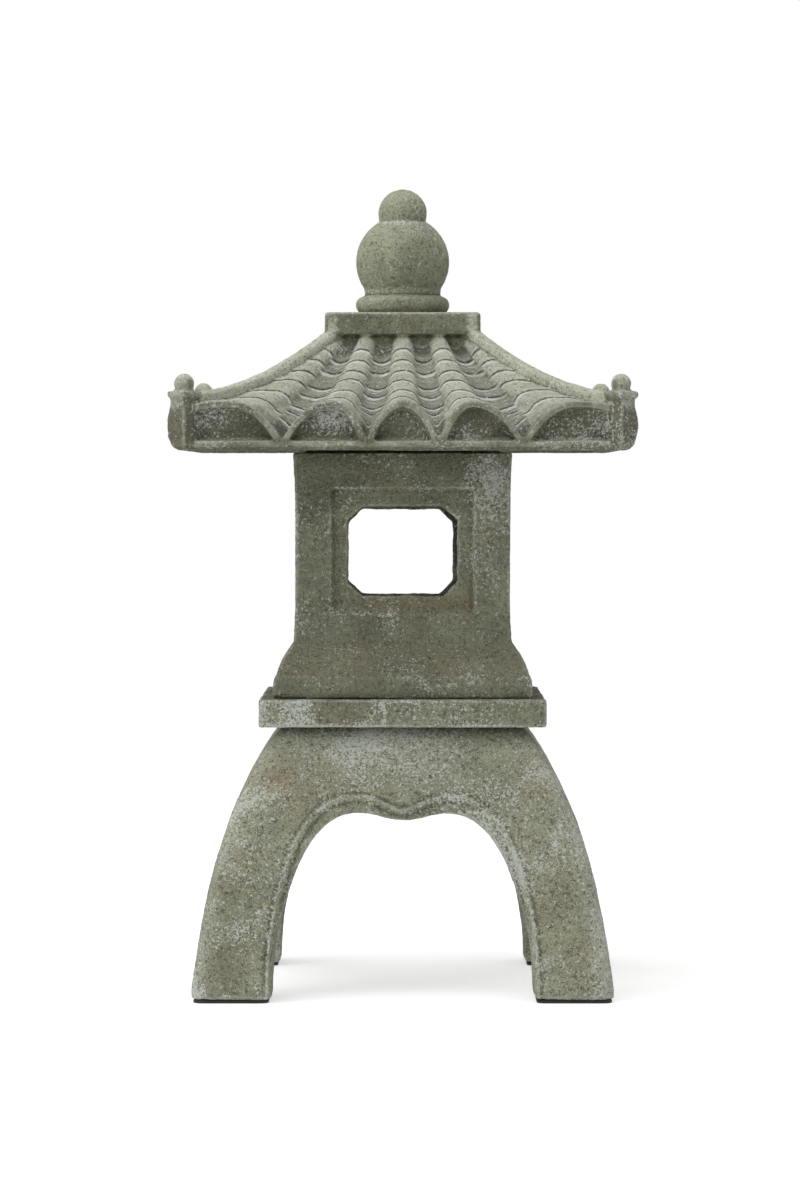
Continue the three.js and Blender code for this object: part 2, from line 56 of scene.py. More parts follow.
# ---- Levels and widths from the frame ----
STAND_LOW, STAND_HIGH = (Vector(corner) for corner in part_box("leg_stand"))
PLATFORM_LOW, PLATFORM_HIGH = (Vector(corner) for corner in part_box("platform_slab"))
BOX_LOW, BOX_HIGH = (Vector(corner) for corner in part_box("fire_box"))
ROOF_LOW, ROOF_HIGH = (Vector(corner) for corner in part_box("roof"))
FINIAL_LOW, FINIAL_HIGH = (Vector(corner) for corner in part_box("finial"))
PIN_HIGH = Vector(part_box("finial_dowel")[1])

FOOT_HALF = STAND_HIGH.x
FOOT_LEVEL = STAND_LOW.z
REST_GAP = 0.3 * MM  # between faces that rest on each other
EAVE_INSET = 5.5 * MM  # the eave lies this far inside the corner blocks' outer edges
DECK_LEVEL = PLATFORM_LOW.z - REST_GAP
PLATFORM_TOP = BOX_LOW.z - REST_GAP
EAVE_HALF = ROOF_HIGH.x - EAVE_INSET
ROOF_LEVEL = BOX_HIGH.z - 1.7 * MM  # the eave's lower edge
ROOF_TOP = ROOF_HIGH.z


# ---- Meshes from rings of points ----


def new_object(name, points, faces):
    mesh = bpy.data.meshes.new(name)
    mesh.from_pydata([tuple(p) for p in points], [], faces)
    mesh.update()
    made = bpy.data.objects.new(name, mesh)
    bpy.context.scene.collection.objects.link(made)
    return made


def loft(name, rings):
    """A closed solid through rings of equally many points, with a flat face at each end."""
    rings = np.asarray(rings, float)
    stations, count = rings.shape[:2]
    faces = []
    for s in range(stations - 1):
        for i in range(count):
            j = (i + 1) % count
            faces.append((s * count + i, s * count + j, (s + 1) * count + j, (s + 1) * count + i))
    faces.append(tuple(reversed(range(count))))
    faces.append(tuple((stations - 1) * count + i for i in range(count)))
    made = new_object(name, rings.reshape(-1, 3), faces)
    turn_outward(made)
    return made


def turn_outward(made):
    mesh = made.data
    mesh.calc_loop_triangles()
    points = positions(mesh)
    corners = np.empty(len(mesh.loop_triangles) * 3, np.int32)
    mesh.loop_triangles.foreach_get("vertices", corners)
    a, b, c = (points[corners.reshape(-1, 3)[:, k]] for k in range(3))
    if np.einsum("ij,ij->i", a, np.cross(b, c)).sum() < 0:
        mesh.flip_normals()


def positions(mesh):
    found = np.empty(len(mesh.vertices) * 3, np.float32)
    mesh.vertices.foreach_get("co", found)
    return found.reshape(-1, 3).astype(float)


def rounded_square(half, radius, z, steps=6):
    ring = []
    for corner in range(4):
        middle = (corner + 0.5) * math.pi / 2
        centre = (half - radius) * math.sqrt(2)
        for i in range(steps + 1):
            angle = (corner + i / steps) * math.pi / 2
            x = centre * math.cos(middle) + radius * math.cos(angle)
            y = centre * math.sin(middle) + radius * math.sin(angle)
            ring.append((x, y, z))
    return ring


def rounded_box(name, half, bottom, top, edge=2 * MM, radius=3 * MM):
    """A square block with rounded upright corners and softened upper and lower edges."""
    steps = [0, 0.4, 1, 2]
    low = [(half - edge * (1 - s / 2) ** 2, bottom + edge * s / 2) for s in steps]
    high = [(half - edge * (1 - s / 2) ** 2, top - edge * s / 2) for s in reversed(steps)]
    return loft(name, [rounded_square(w, radius, z) for w, z in low + high])


def bezier(points, count):
    t = np.linspace(0, 1, count)[:, None]
    p = [np.asarray(q, float) for q in points]
    if len(p) == 3:
        return (1 - t) ** 2 * p[0] + 2 * (1 - t) * t * p[1] + t**2 * p[2]
    blend = ((1 - t) ** 3, 3 * (1 - t) ** 2 * t, 3 * (1 - t) * t**2, t**3)
    return sum(weight * q for weight, q in zip(blend, p))


# ---- Joining, cutting and remeshing ----


def bake_modifiers(made):
    graph = bpy.context.evaluated_depsgraph_get()
    mesh = bpy.data.meshes.new_from_object(made.evaluated_get(graph))
    made.modifiers.clear()
    old = made.data
    made.data = mesh
    bpy.data.meshes.remove(old)


def combine(target, others, operation):
    for other in others:
        step = target.modifiers.new("combine", "BOOLEAN")
        step.operation = operation
        step.solver = "MANIFOLD"
        step.object = other
    bake_modifiers(target)
    for other in others:
        bpy.data.objects.remove(other)


def turned_copies(made, angles=(90, 180, 270)):
    copies = []
    for angle in angles:
        copy = bpy.data.objects.new(made.name + f"_{angle}", made.data.copy())
        copy.data.transform(Matrix.Rotation(math.radians(angle), 4, "Z"))
        bpy.context.scene.collection.objects.link(copy)
        copies.append(copy)
    return copies


def remesh(made, size):
    step = made.modifiers.new("remesh", "REMESH")
    step.mode = "VOXEL"
    step.voxel_size = size
    bake_modifiers(made)


def thin_out(made, triangles):
    made.data.calc_loop_triangles()
    count = len(made.data.loop_triangles)
    if count > triangles:
        step = made.modifiers.new("thin", "DECIMATE")
        step.ratio = triangles / count
        bake_modifiers(made)


# ---- Noise ----


def lattice(cell, seed):
    """A repeatable number from -1 to 1 for each whole-numbered cell."""
    x, y, z = (cell[:, k].astype(np.uint64) for k in range(3))
    mixed = x * np.uint64(73856093) ^ y * np.uint64(19349663) ^ z * np.uint64(83492791)
    mixed = (mixed ^ np.uint64(seed * 2654435761)) & np.uint64(0xFFFFFFFF)
    for _ in range(2):
        mixed = ((mixed ^ (mixed >> np.uint64(15))) * np.uint64(0x2C1B3C6D)) & np.uint64(0xFFFFFFFF)
    mixed ^= mixed >> np.uint64(14)
    return mixed.astype(float) / 0x7FFFFFFF - 1


def noise(points, size, seed):
    """Smooth noise from -1 to 1 with features of this size."""
    place = points / size + 1000.37 + seed * 7.13
    cell = np.floor(place).astype(np.int64)
    part = place - cell
    part = part * part * part * (part * (part * 6 - 15) + 10)
    total = np.zeros(len(points))
    for corner in range(8):
        offset = np.array([(corner >> k) & 1 for k in range(3)])
        weight = np.prod(np.where(offset, part, 1 - part), axis=1)
        total += weight * lattice(cell + offset, seed)
    return total


def fractal(points, size, seed, octaves=3):
    layers = [noise(points, size / 2**k, seed + k) / 2**k for k in range(octaves)]
    return sum(layers) / 1.5


def patches(points, size, seed, shift):
    """Noise cut to 0 to 1; the larger the shift, the more of the surface it covers."""
    return np.clip(noise(points, size, seed) + shift, 0, 1)


def hump(value, middle, width):
    """1 where the value is in the middle, fading to 0 on both sides."""
    return np.exp(-(((value - middle) / width) ** 2))


def dimples(points, spacing, radius, seed, share):
    """1 at the middle of each round pit and 0 outside; only a share of the cells hold one."""
    cell = np.floor(points / spacing).astype(np.int64)
    depth = np.zeros(len(points))
    for index in range(27):
        near = cell + np.array([index % 3 - 1, index // 3 % 3 - 1, index // 9 - 1]) + 5000
        jitter = np.stack([lattice(near, seed + k) for k in range(3)], axis=1) * 0.5 + 0.5
        size = radius * (0.55 + 0.45 * lattice(near, seed + 5))
        present = lattice(near, seed + 9) < share * 2 - 1
        gap = np.linalg.norm(points - (near - 5000 + jitter) * spacing, axis=1)
        pit = np.clip(1 - (gap / np.maximum(size, 1e-6)) ** 2, 0, 1) * present
        depth = np.maximum(depth, pit)
    return depth


# ---- Weathering ----


def edges_of(mesh):
    found = np.empty(len(mesh.edges) * 2, np.int32)
    mesh.edges.foreach_get("vertices", found)
    return found.reshape(-1, 2)


def relax(points, edges, rounds, factor=0.5):
    """Moves each point towards the mean of its neighbours."""
    count = np.bincount(edges.ravel(), minlength=len(points)).clip(1)[:, None]
    for _ in range(rounds):
        total = np.zeros_like(points)
        for axis in range(3):
            total[:, axis] = np.bincount(edges[:, 0], points[edges[:, 1], axis], len(points))
            total[:, axis] += np.bincount(edges[:, 1], points[edges[:, 0], axis], len(points))
        points = points + factor * (total / count - points)
    return points


def normals_of(mesh):
    found = np.empty(len(mesh.vertices) * 3, np.float32)
    mesh.vertices.foreach_get("normal", found)
    return found.reshape(-1, 3).astype(float)


def store(mesh, name, values):
    layer = mesh.attributes.new(name, "FLOAT", "POINT")
    layer.data.foreach_set("value", np.asarray(values, np.float32))


def weather(made, node, seed, soften=3, wave=0.5, chip=1.6, pits=0.9, grain=0.16, extra=None):
    """Rounds the edges, then adds slow waves, edge chips, pits and grain. The mesh gets the
    attributes edge and crease, from 0 to 1, and stays inside the node's box."""
    mesh = made.data
    edges = edges_of(mesh)
    points = relax(positions(mesh), edges, soften)
    mesh.vertices.foreach_set("co", points.astype(np.float32).ravel())
    mesh.update()
    normals = normals_of(mesh)
    bend = np.einsum("ij,ij->i", normals, points - relax(points, edges, 5))
    bend /= np.percentile(np.abs(bend), 98.5)
    wide_bend = np.einsum("ij,ij->i", normals, points - relax(points, edges, 30))
    wide_bend /= np.percentile(np.abs(wide_bend), 98)
    edge = np.clip(bend, 0, 1)
    shift = wave * fractal(points, 42 * MM, seed)
    shift += grain * (noise(points, 3.1 * MM, seed + 11) + 0.7 * noise(points, 1.7 * MM, seed + 12))
    broken = fractal(points, 9 * MM, seed + 20)
    where = np.clip(noise(points, 55 * MM, seed + 24) * 1.4 + 0.45, 0, 1)
    shift -= chip * np.clip(broken * 1.6 - 0.35, 0, 1) * edge * where
    shift -= 0.45 * edge * np.clip(noise(points, 2.6 * MM, seed + 26) - 0.1, 0, 1)
    shift -= pits * dimples(points, 15 * MM, 2.2 * MM, seed + 30, 0.35)
    shift -= 0.45 * pits * dimples(points, 6 * MM, 1.2 * MM, seed + 40, 0.35)
    if extra is not None:
        shift += extra(points, normals)
    points += normals * (shift * MM)[:, None]
    low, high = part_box(node)
    points = np.clip(points, np.asarray(low) + 0.02 * MM, np.asarray(high) - 0.02 * MM)
    mesh.vertices.foreach_set("co", points.astype(np.float32).ravel())
    mesh.update()
    mesh.shade_smooth()
    store(mesh, "edge", np.clip(bend, 0, 1) * 0.75 + np.clip(wide_bend, 0, 1) * 0.25)
    store(mesh, "crease", np.clip(-bend, 0, 1) * 0.55 + np.clip(-wide_bend, 0, 1) * 0.45)


# ---- Leg stand ----

LEG_CORNER = 11 * MM
ARCH_HALF = 97.6 * MM
ARCH_HEIGHT = 135 * MM
ARCH_CUSP = 4.5 * MM
LIP_FOOT = 1.5 * MM
LIP_CROWN = 13 * MM
LIP_DEPTH = 9 * MM
LIP_STEP = 1.3 * MM  # the small upright step along the outer line of the lip
BEAD_HEIGHT = 0.9 * MM  # the raised line just outside that step
DECK_EDGE = 16 * MM  # the deck's upper edges are rounded over this height
DECK_INSET = 6 * MM
DECK_HALF = 91.7 * MM
DECK_BOSS_HALF = 34 * MM

stand_height = DECK_LEVEL - FOOT_LEVEL
splay = FOOT_HALF - DECK_HALF
leg_curve = bezier(
    [
        (DECK_HALF, DECK_LEVEL),
        (DECK_HALF + 0.53 * splay, FOOT_LEVEL + 0.78 * stand_height),
        (DECK_HALF + 0.81 * splay, FOOT_LEVEL + 0.52 * stand_height),
        (FOOT_HALF, FOOT_LEVEL + 0.03 * stand_height),
    ],
    70,
)
leg_curve = np.vstack([leg_curve, [(FOOT_HALF, FOOT_LEVEL)]])
rounding = np.sqrt(np.clip(1 - (1 - (DECK_LEVEL - leg_curve[:, 1]) / DECK_EDGE).clip(0, 1) ** 2, 0, 1))
leg_curve[:, 0] -= DECK_INSET * (1 - rounding)


def stand_half_at(z):
    return np.interp(z, leg_curve[::-1, 1], leg_curve[::-1, 0])


def arch_outline(lip):
    """The arch from the right foot over the crown to the left foot, widened by so many lips."""
    crown = FOOT_LEVEL + ARCH_HEIGHT
    cusp = crown - ARCH_CUSP

    def at(across, up):
        return (across * ARCH_HALF, FOOT_LEVEL + up * ARCH_HEIGHT)

    knee, shoulder = at(0.845, 0.62), (0.34 * ARCH_HALF, crown)
    leg = bezier([(ARCH_HALF, FOOT_LEVEL - MM), at(1, 0.34), knee], 24)
    haunch = bezier([knee, at(0.74, 0.85), (0.58 * ARCH_HALF, crown), shoulder], 30)
    middle = bezier([shoulder, (0.2 * ARCH_HALF, crown), (0.14 * ARCH_HALF, cusp), (0, cusp)], 16)
    half = np.vstack([leg, haunch[1:], middle[1:]])
    rise = np.clip((half[:, 1] - FOOT_LEVEL) / ARCH_HEIGHT, 0, 1)
    pinch = 1 - 0.45 * np.exp(-((half[:, 0] / (13 * MM)) ** 2))
    width = lip * (LIP_FOOT + (LIP_CROWN - LIP_FOOT) * rise**1.5) * pinch
    outward = np.stack([half[:, 0] / ARCH_HALF, rise**2], axis=1)
    outward /= np.linalg.norm(outward, axis=1)[:, None]
    half = half + outward * width[:, None] * np.stack([np.ones_like(rise), rise > 0], axis=1)
    return np.vstack([half, half[-2::-1] * (-1, 1)])


def arch_cutter(name):
    def ring(lip, side, offset):
        outline = arch_outline(lip)
        across, up = outline.T
        return np.stack([across, side * (stand_half_at(up) + offset), up], axis=1)

    half = [(1, 40 * MM), (1, -LIP_STEP), (0.86, -LIP_STEP - 0.3 * MM), (0, -LIP_DEPTH)]
    rings = [ring(lip, -1, offset) for lip, offset in half]
    rings += [ring(lip, 1, offset) for lip, offset in reversed(half)]
    return loft(name, rings)


def distance_to_line(across, up, line):
    """How far points in a plane are from a line through many points."""
    best = np.full(len(across), 1.0)
    for (x0, z0), (x1, z1) in zip(line[:-1], line[1:]):
        dx, dz = x1 - x0, z1 - z0
        along = np.clip(((across - x0) * dx + (up - z0) * dz) / (dx * dx + dz * dz), 0, 1)
        best = np.minimum(best, np.hypot(across - x0 - along * dx, up - z0 - along * dz))
    return best


def make_leg_stand():
    stand = loft("leg_stand_stone", [rounded_square(w, LEG_CORNER, z, 8) for w, z in leg_curve])
    boss = rounded_box("boss", DECK_BOSS_HALF, DECK_LEVEL - 4 * MM, STAND_HIGH.z)
    combine(stand, [boss], "UNION")
    arch = arch_cutter("arch")
    combine(stand, [arch, *turned_copies(arch, (90,))], "DIFFERENCE")
    remesh(stand, 1.3 * MM)
    lip_line = arch_outline(1)[::2]

    def beads(points, normals):
        _, u, facing = side_places(points, normals)
        gap = distance_to_line(u, points[:, 2], lip_line) / MM
        bead = hump(gap, 0.6, 0.9) - 0.9 * hump(gap, 2.7, 0.8)
        strength = 0.55 + 0.45 * noise(points, 30 * MM, 77)
        return BEAD_HEIGHT / MM * bead * strength * (facing > 0.6)

    weather(stand, "leg_stand", seed=3, soften=2, wave=0.7, chip=2.0, grain=0.2, extra=beads)
    mesh = stand.data
    points, normals = positions(mesh), normals_of(mesh)
    _, u, facing = side_places(points, normals)
    up = points[:, 2]
    gap = distance_to_line(u, up, lip_line) / MM
    apron = hump(u, 0, 46 * MM) * np.clip((up - 145 * MM) / (25 * MM), 0, 1)
    feet = np.clip(1 - (up - FOOT_LEVEL) / (22 * MM), 0, 1) * patches(points, 26 * MM, 5, 0.35)
    under = np.clip(-normals[:, 2] * 1.6, 0, 1) * (up > 90 * MM)
    seam = hump(gap, 1.2, 1.3) * patches(points, 24 * MM, 8, 0.55)
    legs = patches(points, 45 * MM, 9, 0.3) * 0.5
    store(mesh, "lime", 0.85 * apron + 0.9 * feet + 0.35 * under + 0.9 * seam + legs)
    # Painted highlight on the rounded outer corners of the legs
    corner = np.clip(1 - np.abs(np.abs(points[:, 0]) - np.abs(points[:, 1])) / (17 * MM), 0, 1)
    outer = np.maximum(np.abs(points[:, 0]), np.abs(points[:, 1])) > stand_half_at(up) - 6 * MM
    store(mesh, "pale", corner * outer * (0.55 + 0.45 * noise(points, 32 * MM, 15)))
    knee = hump(up, 150 * MM, 38 * MM) * np.clip((np.abs(u) - 70 * MM) / (25 * MM), 0, 1)
    spots = patches(points, 40 * MM, 13, -0.2)
    store(mesh, "tan", knee * patches(points, 34 * MM, 12, 0.5) + 0.5 * spots)
    # Painted shade under the platform slab and along the groove outside the lip's bead
    under_slab = np.clip((up - DECK_LEVEL + 9 * MM) / (9 * MM), 0, 1)
    store(mesh, "dark", 0.5 * under_slab + 0.65 * hump(gap, 3.6, 1.0) * (facing > 0.5))
    thin_out(stand, TRIANGLES)
    return stand


def side_places(points, normals):
    """The side each point lies on (0 to 3), its place along that side, and how squarely the
    surface there faces out of that side."""
    x, y = points[:, 0], points[:, 1]
    side = np.where(np.abs(y) >= np.abs(x), np.where(y < 0, 0, 2), np.where(x > 0, 1, 3))
    sides = [side == 0, side == 1, side == 2]
    u = np.select(sides, [x, y, -x], -y)
    facing = np.select(sides, [-normals[:, 1], normals[:, 0], normals[:, 1]], -normals[:, 0])
    return side, u, facing


# ---- Platform slab ----

CHAMBER_HALF = 63 * MM
REGISTER_GAP = 1.5 * MM


def make_platform():
    slab = rounded_box("platform_stone", PLATFORM_HIGH.x, PLATFORM_LOW.z, PLATFORM_TOP, 1.4 * MM, 2.5 * MM)
    boss = rounded_box("boss", CHAMBER_HALF - REGISTER_GAP, PLATFORM_TOP - 3 * MM, PLATFORM_HIGH.z)
    socket = rounded_box("socket", DECK_BOSS_HALF + REGISTER_GAP, PLATFORM_LOW.z - 9 * MM, STAND_HIGH.z + 1.2 * MM)
    combine(slab, [boss], "UNION")
    combine(slab, [socket], "DIFFERENCE")
    remesh(slab, 1.15 * MM)
    weather(slab, "platform_slab", seed=17, soften=1, wave=0.5, chip=2.2, grain=0.22)
    mesh = slab.data
    points, normals = positions(mesh), normals_of(mesh)
    side, u, facing = side_places(points, normals)
    up = points[:, 2]
    ends = np.clip((-u - 62 * MM) / (22 * MM), 0, 1) + 0.8 * hump(u, 30 * MM, 24 * MM)
    limed = np.where(side == 0, ends, np.clip(noise(points, 38 * MM, 31) * 1.8, 0, 1))
    wander = -15 * MM + 1.6 * MM * noise(points * (0, 0, 1), 7 * MM, 33)
    streak = np.exp(-(((u - wander) / (1.4 * MM)) ** 4)) * (side == 0) * (facing > 0.5)
    underside = np.clip(-normals[:, 2], 0, 1) * 0.5
    lower_edge = hump(up, PLATFORM_LOW.z, 1.6 * MM) * patches(points, 22 * MM, 35, 0.7)
    store(mesh, "lime", 0.75 * limed * (facing > 0.4) + 1.6 * streak + underside + 0.9 * lower_edge)
    store(mesh, "tan", 0.9 * np.clip(normals[:, 2] * 1.5 - 0.4, 0, 1))
    # Painted shade on the upward faces of the ledge beside the fire box, not at its corners
    store(mesh, "dark", 0.25 * np.clip(normals[:, 2], 0, 1) * (np.abs(u) < BOX_HIGH.x + 2 * MM))
    thin_out(slab, TRIANGLES)
    return slab


# ---- Fire box ----

BOX_HALF = 81 * MM
BOX_FLARE = 1.7 * MM
MOULDING_HEIGHT = 40.5 * MM
MOULDING_BAND = 15.5 * MM
MOULDING_BATTER = 1 * MM
MOULDING_LEDGE = 1.6 * MM
HEAD_STEP = 3 * MM
HEAD_STEP_WIDTH = 8 * MM
PANEL_WIDTH, PANEL_HEIGHT, PANEL_SILL = 108 * MM, 94 * MM, 63.5 * MM
PANEL_DEPTH = 5 * MM
WINDOW_WIDTH, WINDOW_HEIGHT, WINDOW_SILL = 83 * MM, 69 * MM, 76.5 * MM
WINDOW_CHAMFER = 11 * MM
WINDOW_HEAD_SLOPE = 2.5 * MM
# How far each side's window is aside and down of its place
WINDOW_PLACES = [(0, 0), (0.6 * MM, 0.5 * MM), (1.3 * MM, 2.0 * MM), (-0.7 * MM, -0.4 * MM)]


def box_profile():
    """Half-width and height of the fire box, from its foot up to the head of the wall."""
    foot, wall_foot, wall_top = BOX_LOW.z, BOX_LOW.z + MOULDING_HEIGHT, BOX_HIGH.z - HEAD_STEP
    half, band_top = BOX_HIGH.x, foot + MOULDING_BAND
    lean = half - MOULDING_BATTER
    band = [
        (half - 1.2 * MM, foot), (half - 0.3 * MM, foot + 0.8 * MM),
        (half, foot + 2 * MM), (lean, band_top - 0.8 * MM),
    ]
    ledge = [(lean - 0.5 * MM, band_top), (lean - MOULDING_LEDGE, band_top + 0.5 * MM)]
    start, end = np.array(ledge[-1]), np.array([BOX_HALF + BOX_FLARE, wall_foot])
    bend = start + (end - start) * (0.25, 0.57)
    swell = bezier([start, bend, end], 24)[1:]
    crease = [(BOX_HALF + BOX_FLARE - 0.5 * MM, wall_foot + 1.2 * MM)]
    height = np.linspace(0, 1, 26)[2:]
    flare = (2 * np.abs(height - 0.5)) ** 4
    wall = np.stack([BOX_HALF + BOX_FLARE * flare, wall_foot + height * (wall_top - wall_foot)], axis=1)
    return np.vstack([band, ledge, swell, crease, wall])


def make_panel_cutter():
    low, high = BOX_LOW.z + PANEL_SILL, BOX_LOW.z + PANEL_SILL + PANEL_HEIGHT
    half = PANEL_WIDTH / 2

    def ring(y, side, sill, head):
        left, right, bottom, top = -half + side, half - side, low + sill, high - head
        return [(x, y, z) for x, z in ((left, bottom), (right, bottom), (right, top), (left, top))]

    face = -BOX_HALF
    return loft(
        "panel",
        [
            ring(face - 8 * MM, 0, 0, 0),
            ring(face + 0.4 * MM, 0, 0, 0),
            ring(face + 0.9 * MM, 0.3 * MM, 1.4 * MM, 0.3 * MM),
            ring(face + PANEL_DEPTH, 1.6 * MM, 9 * MM, 1.2 * MM),
        ],
    )


def make_window_cutter(seed, aside, drop):
    """An eight-sided window with broken edges, cut through the front wall a little out of place.
    Its head comes down towards the inside of the wall."""
    half, low = WINDOW_WIDTH / 2, BOX_LOW.z + WINDOW_SILL
    high, cut = low + WINDOW_HEIGHT, WINDOW_CHAMFER
    corners = [
        (half - cut, low), (half, low + cut), (half, high - cut), (half - cut, high),
        (-half + cut, high), (-half, high - cut), (-half, low + cut), (-half + cut, low),
    ]
    outline = []
    for (x0, z0), (x1, z1) in zip(corners, corners[1:] + corners[:1]):
        steps = max(3, round(math.hypot(x1 - x0, z1 - z0) / (2.2 * MM)))
        outline += [(x0 + (x1 - x0) * i / steps, z0 + (z1 - z0) * i / steps) for i in range(steps)]
    outline = np.asarray(outline)
    middle = np.array([0, (low + high) / 2])
    away = outline - middle
    away /= np.linalg.norm(away, axis=1)[:, None]
    rings = []
    for depth in np.linspace(-BOX_HALF - 6 * MM, -CHAMBER_HALF + 6 * MM, 9):
        inward = np.clip((depth + BOX_HALF) / (BOX_HALF - CHAMBER_HALF), 0, 1)
        at = np.column_stack([outline[:, 0], np.full(len(outline), depth), outline[:, 1]])
        ragged = 0.9 * fractal(at, 11 * MM, seed) + 0.55 * noise(at, 3.4 * MM, seed + 5) - 0.25
        moved = outline + away * (ragged * MM)[:, None] + (aside, -drop)
        moved[:, 1] -= WINDOW_HEAD_SLOPE * inward * np.clip((moved[:, 1] - low) / WINDOW_HEIGHT, 0, 1)
        rings.append(np.column_stack([moved[:, 0], at[:, 1], moved[:, 1]]))
    return loft("window", rings)


def make_fire_box():
    box = loft("fire_box_stone", [rounded_square(w, 2 * MM, z, 5) for w, z in box_profile()])
    rim = rounded_box("rim", BOX_HALF - HEAD_STEP_WIDTH, BOX_HIGH.z - HEAD_STEP - 4 * MM, BOX_HIGH.z)
    combine(box, [rim], "UNION")
    chamber = rounded_box("chamber", CHAMBER_HALF, BOX_LOW.z - 8 * MM, BOX_HIGH.z + 8 * MM)
    panel = make_panel_cutter()
    windows = []
    for side, (aside, drop) in enumerate(WINDOW_PLACES):
        window = make_window_cutter(60 + 9 * side, aside, drop)
        window.data.transform(Matrix.Rotation(side * math.pi / 2, 4, "Z"))
        windows.append(window)
    combine(box, [chamber, panel, *turned_copies(panel), *windows], "DIFFERENCE")
    remesh(box, 1.25 * MM)
    weather(box, "fire_box", seed=29, soften=1, wave=0.45, chip=1.8, grain=0.2)
    mesh = box.data
    points, normals = positions(mesh), normals_of(mesh)
    _, u, facing = side_places(points, normals)
    up = points[:, 2]
    height = (up - BOX_LOW.z) / MM
    outside = facing > 0.3
    corner = np.exp(-((((u - 66 * MM) / (24 * MM)) ** 2) + (((height - 165) / 26) ** 2)))
    right = hump(u, 62 * MM, 15 * MM) * (height > 45) * 0.7
    low_left = np.exp(-((((u + 62 * MM) / (20 * MM)) ** 2) + (((height - 62) / 22) ** 2)))
    outline = hump(distance_to_line(u, up, panel_line()) / MM, 0.5, 1.4)
    band = hump(height, 9, 5) * np.clip((u - 5 * MM) / (20 * MM), 0, 1)
    patchy = patches(points, 30 * MM, 44, 0.6)
    lime = (0.85 * corner + right + 0.6 * low_left + 0.75 * band) * patchy + 0.55 * outline * patchy
    ledge = hump(height - MOULDING_BAND / MM, 0.5, 0.8)
    store(mesh, "lime", (lime + 0.5 * ledge) * outside)
    swell = (height > MOULDING_BAND / MM) & (height < MOULDING_HEIGHT / MM + 1)
    sill = hump(height - PANEL_SILL / MM, 6, 7) * (np.abs(u) < PANEL_WIDTH / 2)
    foot = hump(height, 0, 3.2)
    tan = 0.55 * swell + 1.1 * sill + 0.9 * foot
    store(mesh, "tan", tan * np.clip(noise(points, 28 * MM, 48) * 0.8 + 0.75, 0, 1))
    # Painted shade at the head of the wall under the roof, inside the chamber and along the foot
    head = np.clip((height - 170) / 14, 0, 1)
    inside = np.maximum(np.abs(points[:, 0]), np.abs(points[:, 1])) < BOX_HALF - PANEL_DEPTH - 2 * MM
    store(mesh, "dark", 0.35 * head + 0.45 * inside + 0.55 * hump(height, 1, 1.6))
    thin_out(box, TRIANGLES)
    return box


def panel_line():
    low = BOX_LOW.z + PANEL_SILL
    half, high = PANEL_WIDTH / 2, low + PANEL_HEIGHT
    return [(-half, low), (half, low), (half, high), (-half, high), (-half, low)]


# ---- Roof ----

CAP_HALF = 59 * MM
CAP_HEIGHT = 17 * MM
NECK_HALF = 52 * MM
FASCIA_HEIGHT = 7 * MM
TILE_RISE = 37 * MM
RIB_TOP_DEPTH = 7 * MM
RIDGE_WIDTH = 12 * MM
RIDGE_STAND = 4.5 * MM
BLOCK_HALF = 9.5 * MM
BLOCK_HEIGHT = 43.6 * MM
BALL_RADIUS = 7.5 * MM
BALL_SINK = 2 * MM
RIM_BAND = 5 * MM
EAVE_CUT = 17 * MM  # the eave's corners are cut off this far, behind the blocks
RIB_SHARP_EAVE = 1.76  # power of the sine that shapes the tile ends
RIB_EDGE = 0.55  # where a rib ends and its channel begins, as a share of the half-pitch
RIB_REST = 0.28  # height of a channel's edges, as a share of the rib's
CHANNEL_SAG = 4.5 * MM
RIM_RECESS = 8 * MM
DOME_FOOT_HALF, DOME_HEAD_HALF, DOME_RISE = 47.5 * MM, 34 * MM, 45.3 * MM
RIB_COURSES = np.array([69, 80.5, 93, 106, 125, 145]) * MM  # where the rows of tiles end
CHANNEL_COURSES = np.array([71, 84.5, 102, 113, 127, 136, 152]) * MM
COURSE_STEP = 1.35 * MM
RIBS_EAVE = np.array([-129, -51.6, 0, 51.6, 129]) * MM
RIBS_CAP = np.array([-49, -27.5, 0, 27.5, 49]) * MM
VALLEYS_EAVE = np.array([-196, -89, -26.8, 26.8, 89, 196]) * MM
VALLEYS_CAP = np.array([-62, -38.5, -13.5, 13.5, 38.5, 62]) * MM

cap_level = ROOF_TOP - CAP_HEIGHT
rib_eave_level = ROOF_LEVEL + TILE_RISE
channel_eave_level = ROOF_LEVEL + FASCIA_HEIGHT
corner_cut = BLOCK_HALF * math.sqrt(2)
BLOCK_CENTRE = ROOF_HIGH.x - corner_cut
tile_span = EAVE_HALF - NECK_HALF
crest_curve = bezier(
    [
        (NECK_HALF, cap_level + 2 * MM),
        (NECK_HALF + 0.38 * tile_span, cap_level - 0.7 * (cap_level - rib_eave_level)),
        (EAVE_HALF - 0.3 * tile_span, rib_eave_level + MM),
        (EAVE_HALF, rib_eave_level),
    ],
    200,
)


def crest_level(distance):
    return np.interp(distance, crest_curve[:, 0], crest_curve[:, 1])


def slope_share(distance):
    return (distance - NECK_HALF) / tile_span


def channel_level(distance):
    top = cap_level + 2 * MM - RIB_TOP_DEPTH
    return top + (channel_eave_level - top) * slope_share(distance)


def lap(distance, courses):
    """How far down its own tile a place is, from 0 at the top of the tile to 1 at its end."""
    ends = np.concatenate([[NECK_HALF - 4 * MM], courses, [EAVE_HALF + 8 * MM]])
    rows = np.interp(distance, ends, np.arange(len(ends)))
    return rows - np.floor(rows)


def past_course(distance, courses):
    """How far below the nearest tile end a place is in millimetres, at most 5 either way."""
    gaps = (distance[:, None] - courses[None, :]) / MM
    nearest = np.abs(gaps).argmin(axis=1)
    return np.clip(gaps[np.arange(len(distance)), nearest], -5, 5)


